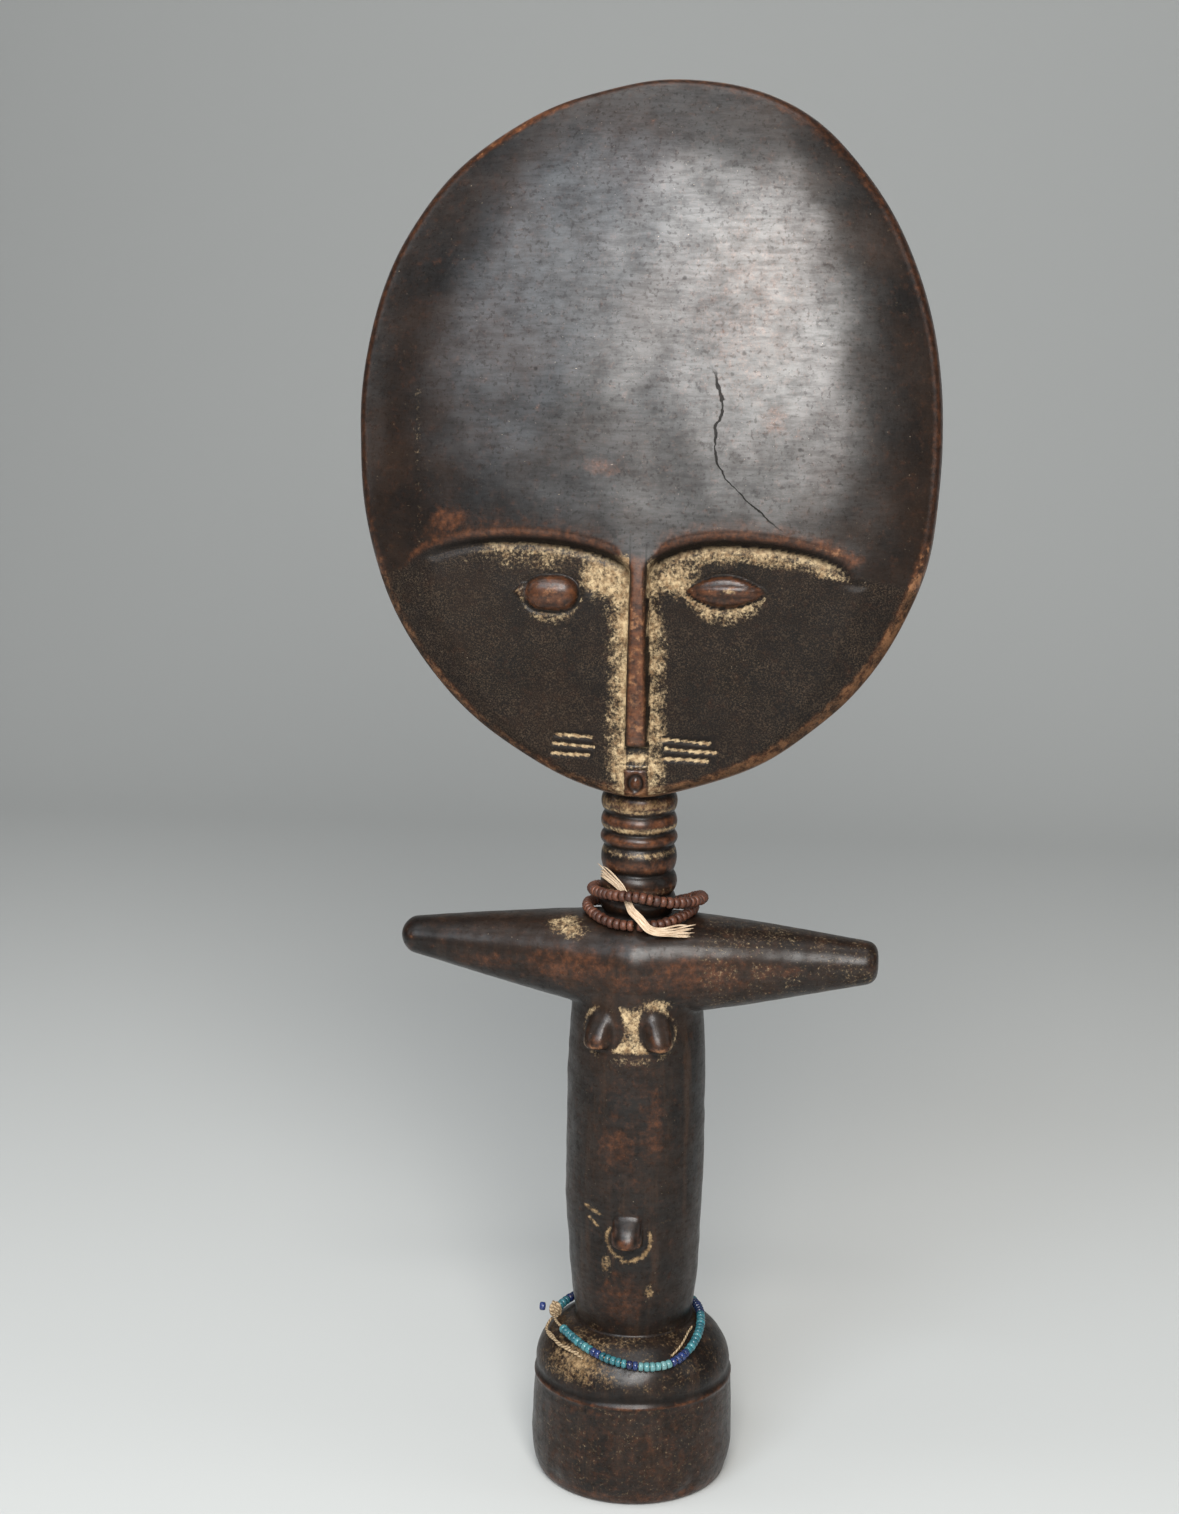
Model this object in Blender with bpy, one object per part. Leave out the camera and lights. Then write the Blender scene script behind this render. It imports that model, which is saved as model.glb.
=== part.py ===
"""Akuaba doll: a figure carved from one block of dark hardwood, dressed with two bead strings.

The figure has a tilted disc head, a ringed neck, two cone arms, a barrel torso and a round base.
A brown bead necklace lies on the shoulders, tied with raffia, and a glass bead anklet lies on the
base. Metres, +Z up. The face looks along -Y, and the origin is under the middle of the base.
"""

import math

import bmesh
import bpy
import numpy as np
from mathutils import Matrix, Vector

# Base: a drum with a worn, rounded foot and a domed shoulder above its ridge
BASE_FOOT_RADIUS = 0.0220
BASE_RADIUS = 0.0256
BASE_FOOT_ROUND_HEIGHT = 0.0105
BASE_RIDGE_RADIUS = 0.0248
BASE_RIDGE_HEIGHT = 0.0260
BASE_DOME_HEIGHT = 0.0158
DOME_FULLNESS = 3.0
DOME_ROUNDNESS = 2.3

# Torso: a barrel from the base to the arms
TORSO_LENGTH = 0.0902
TORSO_FOOT_RADIUS = 0.0146
TORSO_RADIUS = 0.0170
TORSO_TOP_RADIUS = 0.0153
TORSO_WIDEST_SHARE = 0.58
TORSO_FOOT_CURVE = 3.2
TORSO_TOP_CURVE = 2.0

# Arms: two cones in one line, raised towards the tips, the left one slimmer and more raised
ARM_SPAN = 0.1170
ARM_ROOT_HEIGHT = 0.0252
ARM_ROOT_DEPTH = 0.0350
ARM_TIP_DEPTH = 0.0105
ARM_TIP_ROUND = 0.0035
ARM_BEND_LENGTH = 0.0060
LEFT_TIP_HEIGHT = 0.0078
LEFT_TAPER = 1.25
LEFT_RISE_DEG = 4.9
LEFT_TIP_BLUNTNESS = 2.0
RIGHT_TIP_HEIGHT = 0.0095
RIGHT_TAPER = 1.40
RIGHT_RISE_DEG = 2.0
RIGHT_TIP_BLUNTNESS = 3.2
ARM_DEPTH_TAPER = 0.8
ARM_TIP_CORNER = 2.0
ARM_ROOT_CORNER = 2.6

# Neck: a column of carved rings
NECK_LENGTH = 0.0304
NECK_BEHIND_CHIN = 0.0090
NECK_RADIUS = 0.0093
NECK_GROOVE_DEPTH = 0.0012
NECK_RINGS = 7
NECK_ROOT_DEPTH = 0.0063
NECK_CAP_SHARE = 0.8

# Head: an egg-shaped disc, domed in front and behind, tilted back
HEAD_HALF_WIDTH = 0.0688
HEAD_CROWN_LENGTH = 0.0808
HEAD_CHIN_LENGTH = 0.0870
HEAD_RIM_THICKNESS = 0.0056
HEAD_FRONT_DOME = 0.0100
HEAD_BACK_DOME = 0.0060
HEAD_TILT_DEG = 8.0
HEAD_FORWARD = 0.0125
HEAD_SIDE_SHIFT = 0.0007
CROWN_LEAN = 0.0065
CROWN_LEAN_POWER = 5
JAW_LEAN = 0.0020
JAW_LEAN_POWER = 12
CROWN_FLATNESS = 2.08
CROWN_ROUNDNESS = 0.475
JAW_FLATNESS = 2.45
JAW_ROUNDNESS = 0.622
FRONT_FULLNESS = 3.4
BACK_FULLNESS = 2.6

# Face: cheeks cut back to a flat floor under the brows, leaving the nose and the mouth standing.
# Heights on the face are measured up the disc from the chin
BROW_HEIGHT = 0.0601
BROW_ARCH = 0.0076
BROW_FULLNESS = 0.55
RIGHT_BROW_PEAK = 0.0209
RIGHT_BROW_END = 0.0492
LEFT_BROW_PEAK = 0.0291
LEFT_BROW_END = 0.0550
BROW_CUT_DEPTH = 0.0040
CHIN_CUT_DEPTH = 0.0009
BROW_CUT_SHARE = 0.32
CHIN_CUT_SHARE = 0.97
CUTTER_OVERRUN = 0.0138
NOSE_TOP_WIDTH = 0.0037
NOSE_TIP_WIDTH = 0.0049
NOSE_TIP_HEIGHT = 0.0127
MOUTH_WIDTH = 0.0055
MOUTH_TOP_HEIGHT = 0.0086
MOUTH_OPENING_RADIUS = 0.0015
MOUTH_OPENING_HEIGHT = 0.0040
MOUTH_OPENING_DEPTH = 0.0012
PHILTRUM_RIDGE = 0.0005
PHILTRUM_WIDTH = 0.0072
EYE_BULGE = 0.0028
EYE_ROUNDNESS = 0.8
LEFT_EYE_SIDE = 0.0204
LEFT_EYE_HEIGHT = 0.0471
LEFT_EYE_LENGTH = 0.0150
LEFT_EYE_OPENING = 0.0086
LEFT_EYE_POINT = 0.60
RIGHT_EYE_SIDE = 0.0203
RIGHT_EYE_HEIGHT = 0.0489
RIGHT_EYE_LENGTH = 0.0172
RIGHT_EYE_OPENING = 0.0074
RIGHT_EYE_POINT = 0.85
SCARS_PER_CHEEK = 3
SCAR_TOP_HEIGHT = 0.0143
SCAR_PITCH = 0.00215
SCAR_WIDTH = 0.0011
SCAR_DEPTH = 0.0006
SCAR_SHORTENING = 0.06
LEFT_SCAR_SIDE = 0.0161
LEFT_SCAR_LENGTH = 0.0098
RIGHT_SCAR_SIDE = 0.0122
RIGHT_SCAR_LENGTH = 0.0112

# Breasts and navel: small bosses on the torso
BREAST_WIDTH = 0.0066
BREAST_HEIGHT = 0.0088
BREAST_PROJECTION = 0.0040
BREAST_SPACING = 0.0150
BREAST_BELOW_ARM_AXIS = 0.0130
BREAST_DROOP_DEG = 24.0
NAVEL_WIDTH = 0.0080
NAVEL_PROJECTION = 0.0046
NAVEL_BELOW_ARM_AXIS = 0.0632
NAVEL_DROOP_DEG = 12.0
BOSS_FULLNESS = 0.8

# Bead strings and their ties
CLEARANCE = 0.0003
NECKLACE_BEAD_DIAMETER = 0.0028
NECKLACE_BEAD_PITCH = 0.0018
BEAD_WAIST_SHARE = 0.33
FIRST_TURN_SLACK = 0.0020
FIRST_TURN_SIDE = 0.0005
FIRST_TURN_BACK = 0.0009
SECOND_TURN_SLACK = 0.0025
SECOND_TURN_SIDE = 0.0022
SECOND_TURN_BACK = 0.0007
SECOND_TURN_FRONT_LIFT = 0.0045
SECOND_TURN_LEAN = 0.0007
SECOND_TURN_NARROWNESS = 4
NECKLACE_CROSSING_DEG = 62.0
NECKLACE_CROSSING_REACH_DEG = 40.0
NECKLACE_KNOT_DEG = 7.0
STRING_STEP_DEG = 3.0
ANKLET_BEAD_DIAMETER = 0.0023
ANKLET_BEAD_PITCH = 0.0014
ANKLET_SAG = 0.0067
ANKLET_SAG_DEG = 292.0
ANKLET_SAG_LEFT_DEG = 76.0
ANKLET_SAG_RIGHT_DEG = 45.0
ANKLET_KNOT_STAND = 0.0026
ANKLET_KNOT_STAND_DEG = 30.0
ANKLET_KNOT_DEG = 180.0
ANKLET_BARE_DEG = 212.0
THREAD_DIAMETER = 0.0009
KNOT_DIAMETER = 0.0034
KNOT_REACH_DEG = 6.0
RAFFIA_THICKNESS = 0.0005
RAFFIA_WIDTH = 0.0017
RAFFIA_END_WIDTH = 0.0034
RAFFIA_LEAN_DEG = 48.0

# Facets round each form
BODY_SIDES = 32
ARM_SIDES = 24
NECK_SIDES = 18
HEAD_SIDES = 54
BOSS_SIDES = 12
EYE_SIDES = 18
THREAD_SIDES = 6
END_BEAD_SIDES = 10
STRING_SIDES = 5
SHARP_DEG = 40.0

# Levels that follow from those sizes
BASE_TOP = BASE_RIDGE_HEIGHT + BASE_DOME_HEIGHT
ARM_AXIS = BASE_TOP + TORSO_LENGTH
SHOULDER_TOP = ARM_AXIS + ARM_ROOT_HEIGHT / 2
CHIN_HEIGHT = SHOULDER_TOP + NECK_LENGTH
NECK_TOP = CHIN_HEIGHT + NECK_BEHIND_CHIN
BROW_LEVEL = BROW_HEIGHT - HEAD_CHIN_LENGTH
NOSE_TIP_LEVEL = NOSE_TIP_HEIGHT - HEAD_CHIN_LENGTH


def clear_scene():
    """Removes what a new file holds."""
    for thing in list(bpy.data.objects):
        bpy.data.objects.remove(thing, do_unlink=True)


def finish(name, colour, roughness, metallic=0.0):
    """A plain Principled finish."""
    material = bpy.data.materials.new(name)
    material.use_nodes = True
    shader = material.node_tree.nodes["Principled BSDF"]
    shader.inputs["Base Color"].default_value = (*colour, 1.0)
    shader.inputs["Roughness"].default_value = roughness
    shader.inputs["Metallic"].default_value = metallic
    return material


def skin(name, rings, material):
    """One closed mesh through rings of points. Each ring joins the next, and the ends are capped."""
    bm = bmesh.new()
    loops = [[bm.verts.new(point) for point in ring] for ring in rings]
    bm.faces.new(reversed(loops[0]))
    bm.faces.new(loops[-1])
    for near, far in zip(loops, loops[1:]):
        for here in range(len(near)):
            after = (here + 1) % len(near)
            bm.faces.new((near[here], near[after], far[after], far[here]))
    bmesh.ops.recalc_face_normals(bm, faces=bm.faces)
    mesh = bpy.data.meshes.new(name)
    bm.to_mesh(mesh)
    bm.free()
    mesh.shade_smooth()
    mesh.set_sharp_from_angle(angle=math.radians(SHARP_DEG))
    mesh.materials.append(material)
    thing = bpy.data.objects.new(name, mesh)
    bpy.context.scene.collection.objects.link(thing)
    return thing


def helper_collection(name, members):
    """Puts the objects that a Boolean reads in one collection, hidden from renders."""
    collection = bpy.data.collections.new(name)
    bpy.context.scene.collection.children.link(collection)
    for member in members:
        bpy.context.scene.collection.objects.unlink(member)
        collection.objects.link(member)
        member.hide_render = True
        member.display_type = "WIRE"
    return collection


def combine(target, operation, members):
    """Joins the members to the target, or cuts them from it."""
    cut = target.modifiers.new(f"{operation.lower()} {target.name}", "BOOLEAN")
    cut.operation = operation
    cut.operand_type = "COLLECTION"
    cut.collection = helper_collection(f"{target.name} {operation.lower()}", members)
    cut.solver = "EXACT"


def turned_rings(profile, sides):
    """Rings of a turned shape about +Z, from (radius, height) pairs."""
    turns = np.arange(sides) / sides * 2 * math.pi
    return [
        [(radius * math.cos(turn), radius * math.sin(turn), height) for turn in turns]
        for radius, height in profile
    ]


def base_profile():
    """The drum from its flat foot, round the worn edge, up the wall, over the ridge and the dome."""
    worn = BASE_RADIUS - BASE_FOOT_RADIUS
    profile = [(BASE_FOOT_RADIUS, 0.0)]
    for turn in np.radians((25, 50, 90)):
        height = BASE_FOOT_ROUND_HEIGHT * (1 - math.cos(turn))
        profile.append((BASE_FOOT_RADIUS + worn * math.sin(turn), height))
    profile.append((BASE_RIDGE_RADIUS, BASE_RIDGE_HEIGHT))
    for share in (0.995, 0.965, 0.91, 0.82, 0.68, 0.45):
        radius = BASE_RIDGE_RADIUS * share
        profile.append((radius, dome_height(radius)))
    return profile


def dome_height(radius):
    """Height of the base's shoulder at a distance from the axis: steep above the ridge, then over
    in a full curve."""
    share = np.clip(np.asarray(radius) / BASE_RIDGE_RADIUS, 0.0, 1.0)
    rise = (1 - share**DOME_FULLNESS) ** (1 / DOME_ROUNDNESS)
    return BASE_RIDGE_HEIGHT + BASE_DOME_HEIGHT * rise


def torso_radius(share):
    """Radius of the barrel at a share of its length: fullest at TORSO_WIDEST_SHARE, drawn in quickly
    near the foot and evenly towards the top."""
    if share < TORSO_WIDEST_SHARE:
        away = (TORSO_WIDEST_SHARE - share) / TORSO_WIDEST_SHARE
        return TORSO_RADIUS - (TORSO_RADIUS - TORSO_FOOT_RADIUS) * away**TORSO_FOOT_CURVE
    away = (share - TORSO_WIDEST_SHARE) / (1 - TORSO_WIDEST_SHARE)
    return TORSO_RADIUS - (TORSO_RADIUS - TORSO_TOP_RADIUS) * away**TORSO_TOP_CURVE


def torso_rings():
    """The barrel, from inside the base's dome to the arms' axis."""
    stations = np.linspace(0.0, 1.0, 10)
    profile = [(torso_radius(s), BASE_TOP + TORSO_LENGTH * s) for s in stations]
    profile[0] = (TORSO_FOOT_RADIUS, BASE_RIDGE_HEIGHT)
    profile.insert(1, (TORSO_FOOT_RADIUS, dome_height(TORSO_FOOT_RADIUS)))
    return turned_rings(profile, BODY_SIDES)


def arm_section(along):
    """(half height, half depth, axis height) of the arms at a distance along X."""
    reach = ARM_SPAN / 2
    share = min(abs(along) / reach, 1.0)
    tip_height = LEFT_TIP_HEIGHT if along < 0 else RIGHT_TIP_HEIGHT
    taper = LEFT_TAPER if along < 0 else RIGHT_TAPER
    rise = LEFT_RISE_DEG if along < 0 else RIGHT_RISE_DEG
    bluntness = LEFT_TIP_BLUNTNESS if along < 0 else RIGHT_TIP_BLUNTNESS
    half_height = (ARM_ROOT_HEIGHT + (tip_height - ARM_ROOT_HEIGHT) * share**taper) / 2
    half_depth = (ARM_ROOT_DEPTH + (ARM_TIP_DEPTH - ARM_ROOT_DEPTH) * share**ARM_DEPTH_TAPER) / 2
    into_tip = max(0.0, (abs(along) - reach + ARM_TIP_ROUND) / ARM_TIP_ROUND)
    closing = max(0.0, 1 - min(into_tip, 1.0) ** bluntness) ** (1 / bluntness)
    out = math.hypot(along, ARM_BEND_LENGTH) - ARM_BEND_LENGTH
    axis = ARM_AXIS + out * math.tan(math.radians(rise))
    return half_height * closing, half_depth * closing, axis


def arm_corner(along):
    """Exponent of the arms' rounded section: fuller at the shoulders, round at the tips."""
    inward = 1 - min(abs(along) / (ARM_SPAN / 2), 1.0)
    return ARM_TIP_CORNER + (ARM_ROOT_CORNER - ARM_TIP_CORNER) * inward


def arm_rings():
    """Sections across the arms, closer together over the rounded tips."""
    reach = ARM_SPAN / 2
    body = np.linspace(0.0, reach - ARM_TIP_ROUND, 7)
    tip = reach - ARM_TIP_ROUND * (1 - np.array((0.45, 0.75, 0.93, 0.995)))
    right = np.concatenate([body, tip])
    rings = []
    for along in np.concatenate([-right[:0:-1], right]):
        half_height, half_depth, axis = arm_section(along)
        power = 2 / arm_corner(along)
        ring = []
        for turn in np.arange(ARM_SIDES) / ARM_SIDES * 2 * math.pi:
            c, s = math.cos(turn), math.sin(turn)
            y = half_depth * math.copysign(abs(c) ** power, c)
            z = axis + half_height * math.copysign(abs(s) ** power, s)
            ring.append((along, y, z))
        rings.append(ring)
    return rings


def shoulder_height(x, y):
    """Height of the arms' upper side over a point, or of their axis where the point is beside them."""
    half_height, half_depth, axis = arm_section(x)
    corner = arm_corner(x)
    across = min(abs(y) / max(half_depth, 1e-6), 1.0)
    return axis + half_height * (1 - across**corner) ** (1 / corner)


def base_shoulder_height(x, y):
    """Height of the base's dome over a point."""
    return float(dome_height(math.hypot(x, y)))


def rest_height(surface, x, y, radius):
    """Height of the centre of a ball of that radius that rests on a surface with its centre over
    (x, y): the highest of the surface plus the ball's own underside, over the ball's shadow."""
    highest = surface(x, y) + radius
    for reach in (0.35, 0.7, 0.95):
        for turn in np.arange(12) / 12 * 2 * math.pi:
            under = radius * math.sqrt(1 - reach**2)
            px = x + radius * reach * math.cos(turn)
            py = y + radius * reach * math.sin(turn)
            highest = max(highest, surface(px, py) + under)
    return highest


def neck_profile():
    """Carved rings, each swelling from groove to crest, then a rounded top behind the head."""
    root = SHOULDER_TOP - NECK_ROOT_DEPTH
    groove = NECK_RADIUS - NECK_GROOVE_DEPTH
    pitch = (NECK_TOP - SHOULDER_TOP) / NECK_RINGS
    profile = [(groove, root)]
    for ring in range(NECK_RINGS):
        for share, swell in ((0.0, 0.0), (0.18, 0.72), (0.5, 1.0), (0.82, 0.72)):
            profile.append((groove + NECK_GROOVE_DEPTH * swell, SHOULDER_TOP + (ring + share) * pitch))
    for turn in np.radians((5, 35, 60, 80)):
        profile.append((groove * math.cos(turn), NECK_TOP + groove * NECK_CAP_SHARE * math.sin(turn)))
    return profile


def head_outline(turn, share=1.0):
    """Point (side, level) of the disc's outline, shrunk to a share about its centre. The half width
    at a level v of the crown or chin length is (1 - v^a)^b: nearly an ellipse above, and below with
    straighter sides that meet at the chin. The middle line leans to +X at the crown and the jaw."""
    up = math.sin(turn)
    v = abs(up)
    if up >= 0:
        a, b, length = CROWN_FLATNESS, CROWN_ROUNDNESS, HEAD_CROWN_LENGTH
        lean = CROWN_LEAN * v**CROWN_LEAN_POWER
    else:
        a, b, length = JAW_FLATNESS, JAW_ROUNDNESS, HEAD_CHIN_LENGTH
        lean = JAW_LEAN * v * (1 - v**JAW_LEAN_POWER)
    half = HEAD_HALF_WIDTH * max(0.0, 1 - v**a) ** b
    side = math.copysign(half, math.cos(turn)) + lean
    return side * share, up * length * share


def head_rings():
    """The disc from the middle of its back, round the rim and over the front to its middle."""
    rim = HEAD_RIM_THICKNESS / 2
    stations = []
    for share in (0.12, 0.35, 0.58, 0.78, 0.92):
        stations.append((share, -rim - HEAD_BACK_DOME * (1 - share**BACK_FULLNESS)))
    stations += [(0.985, -rim), (1.0, 0.0), (0.985, rim)]
    for share in (0.93, 0.85, 0.75, 0.62, 0.45, 0.25, 0.08):
        stations.append((share, front_dome(share)))
    turns = (np.arange(HEAD_SIDES) + 0.5) / HEAD_SIDES * 2 * math.pi
    rings = []
    for share, front in stations:
        outline = [head_outline(turn, share) for turn in turns]
        rings.append([(side, -front, level) for side, level in outline])
    return rings


def front_dome(share):
    """Height of the front over the middle of the rim, at a share of the way out to the rim."""
    return HEAD_RIM_THICKNESS / 2 + HEAD_FRONT_DOME * (1 - share**FRONT_FULLNESS)


def cheek_floor(level):
    """Height of the flat floor that the cheeks are cut back to. It falls from brow to chin."""
    brow_floor = front_dome(BROW_CUT_SHARE) - BROW_CUT_DEPTH
    chin_floor = front_dome(CHIN_CUT_SHARE) - CHIN_CUT_DEPTH
    down = (BROW_LEVEL - level) / (BROW_LEVEL + HEAD_CHIN_LENGTH)
    return brow_floor + (chin_floor - brow_floor) * down


def brow_shape(sign):
    """(distance of the peak, distance of the outer end) of one brow from the middle line."""
    return (RIGHT_BROW_PEAK, RIGHT_BROW_END) if sign > 0 else (LEFT_BROW_PEAK, LEFT_BROW_END)


def brow_edge(sign, side):
    """Level of a brow's lower edge at a distance from the middle line: two elliptic arcs that meet
    at the brow's peak."""
    peak, end = brow_shape(sign)
    half = peak - NOSE_TOP_WIDTH / 2 if side < peak else end - peak
    away = min(abs(side - peak) / half, 1.0)
    return BROW_LEVEL - BROW_ARCH + BROW_ARCH * (1 - away**2) ** BROW_FULLNESS


def cheek_cutter(sign, material):
    """A prism under one brow: along the brow's arc, out past the jaw and back up beside the mouth
    and the nose. Its floor is the cheek's."""
    inner = NOSE_TOP_WIDTH / 2
    reach = brow_shape(sign)[1] - inner
    beyond = HEAD_HALF_WIDTH + CUTTER_OVERRUN
    below = -HEAD_CHIN_LENGTH - CUTTER_OVERRUN
    outline = []
    for turn in np.linspace(0.0, math.pi, 11):
        side = inner + reach * (1 - math.cos(turn)) / 2
        outline.append((side, brow_edge(sign, side)))
    outline += [(beyond, outline[-1][1] - BROW_ARCH), (beyond, below)]
    outline += [(MOUTH_WIDTH / 2, below), (MOUTH_WIDTH / 2, NOSE_TIP_LEVEL)]
    outline += [(NOSE_TIP_WIDTH / 2, NOSE_TIP_LEVEL)]
    outside = HEAD_RIM_THICKNESS + HEAD_FRONT_DOME * 2
    floor = [(sign * side, -cheek_floor(level), level) for side, level in outline]
    lid = [(sign * side, -outside, level) for side, level in outline]
    return skin(f"cheek cutter {sign:+d}", [floor, lid], material)


def philtrum_cutter(material):
    """A block across the middle line between the nose's tip and the mouth."""
    floor = cheek_floor(NOSE_TIP_LEVEL) + PHILTRUM_RIDGE
    outside = HEAD_RIM_THICKNESS + HEAD_FRONT_DOME * 2
    low = MOUTH_TOP_HEIGHT - HEAD_CHIN_LENGTH
    corners = ((-1, low), (1, low), (1, NOSE_TIP_LEVEL), (-1, NOSE_TIP_LEVEL))
    half = PHILTRUM_WIDTH / 2
    rings = [[(sign * half, -height, level) for sign, level in corners] for height in (floor, outside)]
    return skin("philtrum cutter", rings, material)


def mouth_cutter(material):
    """A short round bore for the open mouth."""
    centre = MOUTH_OPENING_HEIGHT - HEAD_CHIN_LENGTH
    surface = front_dome(-centre / HEAD_CHIN_LENGTH)
    rings = []
    for height in (surface - MOUTH_OPENING_DEPTH, surface + HEAD_FRONT_DOME):
        ring = []
        for turn in np.arange(BOSS_SIDES) / BOSS_SIDES * 2 * math.pi:
            side = MOUTH_OPENING_RADIUS * math.cos(turn)
            ring.append((side, -height, centre + MOUTH_OPENING_RADIUS * math.sin(turn)))
        rings.append(ring)
    return skin("mouth cutter", rings, material)


def scar_cutters(middle, length, material):
    """V-shaped strokes cut across one cheek beside the nose's tip, each shorter than the one above."""
    cutters = []
    for count in range(SCARS_PER_CHEEK):
        level = SCAR_TOP_HEIGHT - HEAD_CHIN_LENGTH - SCAR_PITCH * count
        floor = cheek_floor(level)
        over = floor + SCAR_WIDTH
        half = SCAR_WIDTH / 2 * (1 + SCAR_WIDTH / SCAR_DEPTH)
        rings = []
        for end, fade in ((-0.5, 0.4), (-0.35, 1.0), (0.35, 1.0), (0.5, 0.4)):
            side = middle + length * (1 - SCAR_SHORTENING * count) * end
            bottom = (side, -(floor - SCAR_DEPTH * fade), level)
            rings.append([(side, -over, level + half), (side, -over, level - half), bottom])
        cutters.append(skin(f"scar cutter {middle:+.3f} {count}", rings, material))
    return cutters


def eye_boss(side, height, length, opening, point, material):
    """An almond that swells from the cheek's floor. Its ends are as pointed as its share says."""
    rings = []
    middle = height - HEAD_CHIN_LENGTH
    for share, lift in ((1.0, -0.4), (0.96, 0.25), (0.78, 0.68), (0.5, 0.92), (0.2, 1.0)):
        ring = []
        for turn in (np.arange(EYE_SIDES) + 0.5) / EYE_SIDES * 2 * math.pi:
            across = length / 2 * share * math.cos(turn)
            swell = math.copysign(abs(math.sin(turn)) ** (EYE_ROUNDNESS + point), math.sin(turn))
            level = middle + opening / 2 * share * swell
            ring.append((side + across, -(cheek_floor(level) + EYE_BULGE * lift), level))
        rings.append(ring)
    return skin(f"eye {side:+.3f}", rings, material)


def head_frame():
    """Places the head's own frame: its chin stands over the neck, and the disc tilts back."""
    tilt = Matrix.Rotation(-math.radians(HEAD_TILT_DEG), 4, "X")
    chin = tilt @ Vector((0.0, 0.0, -HEAD_CHIN_LENGTH))
    place = Vector((HEAD_SIDE_SHIFT, -HEAD_FORWARD, CHIN_HEIGHT)) - chin
    return Matrix.Translation(place) @ tilt


def carved_head(material):
    """The disc with its cheeks, mouth and scars cut and its eyes joined on."""
    head = skin("head form", head_rings(), material)
    cutters = [cheek_cutter(-1, material), cheek_cutter(1, material)]
    cutters += [philtrum_cutter(material), mouth_cutter(material)]
    cutters += scar_cutters(-LEFT_SCAR_SIDE, LEFT_SCAR_LENGTH, material)
    cutters += scar_cutters(RIGHT_SCAR_SIDE, RIGHT_SCAR_LENGTH, material)
    left_eye = (LEFT_EYE_HEIGHT, LEFT_EYE_LENGTH, LEFT_EYE_OPENING, LEFT_EYE_POINT)
    right_eye = (RIGHT_EYE_HEIGHT, RIGHT_EYE_LENGTH, RIGHT_EYE_OPENING, RIGHT_EYE_POINT)
    eyes = [
        eye_boss(-LEFT_EYE_SIDE, *left_eye, material),
        eye_boss(RIGHT_EYE_SIDE, *right_eye, material),
    ]
    for form in [head, *cutters, *eyes]:
        form.matrix_world = head_frame()
    combine(head, "DIFFERENCE", cutters)
    combine(head, "UNION", eyes)
    return head


def boss(name, width, height, projection, place, droop_deg, material):
    """An oval boss that stands out from the torso along -Y and droops."""
    profile = [(1.0, -projection), (1.0, 0.0)]
    for turn in np.radians((20, 45, 65, 82)):
        profile.append((math.cos(turn) ** BOSS_FULLNESS, projection * math.sin(turn)))
    rings = turned_rings(profile, BOSS_SIDES)
    rings = [[(x * width / 2, y * height / 2, z) for x, y, z in ring] for ring in rings]
    form = skin(name, rings, material)
    form.matrix_world = Matrix.Translation(place) @ Matrix.Rotation(
        math.radians(90 + droop_deg), 4, "X"
    )
    return form


def torso_front(height):
    """Distance of the torso's front from the axis at a height."""
    return torso_radius((height - BASE_TOP) / TORSO_LENGTH)


def carved_bosses(material):
    """The two breasts under the arms, and the navel."""
    bosses = []
    height = ARM_AXIS - BREAST_BELOW_ARM_AXIS
    for side in (-BREAST_SPACING / 2, BREAST_SPACING / 2):
        place = Vector((side, -math.sqrt(torso_front(height) ** 2 - side**2), height))
        size = (BREAST_WIDTH, BREAST_HEIGHT, BREAST_PROJECTION)
        bosses.append(boss(f"breast {side:+.3f}", *size, place, BREAST_DROOP_DEG, material))
    height = ARM_AXIS - NAVEL_BELOW_ARM_AXIS
    place = Vector((0.0, -torso_front(height), height))
    size = (NAVEL_WIDTH, NAVEL_WIDTH, NAVEL_PROJECTION)
    bosses.append(boss("navel", *size, place, NAVEL_DROOP_DEG, material))
    return bosses


def carve_figure(material):
    """The whole figure as one solid: every form is joined to the torso."""
    figure = skin("figure", torso_rings(), material)
    forms = [
        skin("base form", turned_rings(base_profile(), BODY_SIDES), material),
        skin("arm form", arm_rings(), material),
        skin("neck form", turned_rings(neck_profile(), NECK_SIDES), material),
        carved_head(material),
        *carved_bosses(material),
    ]
    combine(figure, "UNION", forms)
    return figure


def along_route(route, pitch):
    """Points spaced evenly along a route, close to the pitch, the ends included."""
    route = np.asarray(route)
    steps = np.linalg.norm(np.diff(route, axis=0), axis=1)
    travelled = np.concatenate([[0.0], np.cumsum(steps)])
    count = max(2, round(travelled[-1] / pitch))
    marks = np.linspace(0.0, travelled[-1], count + 1)
    return np.stack([np.interp(marks, travelled, route[:, k]) for k in range(3)], axis=1)


def tube_rings(points, radii, sides):
    """Rings round each point of a path, square to the path, with no twist from one to the next."""
    points = np.asarray(points)
    ways = np.gradient(points, axis=0)
    ways /= np.linalg.norm(ways, axis=1)[:, None]
    across = np.cross(ways[0], (0.0, 0.0, 1.0))
    rings = []
    for point, way, radius in zip(points, ways, radii):
        across = across - way * np.dot(across, way)
        across /= np.linalg.norm(across)
        upright = np.cross(across, way)
        turns = np.arange(sides) / sides * 2 * math.pi
        rings.append([
            tuple(point + radius * (math.cos(turn) * across + math.sin(turn) * upright))
            for turn in turns
        ])
    return rings


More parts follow.
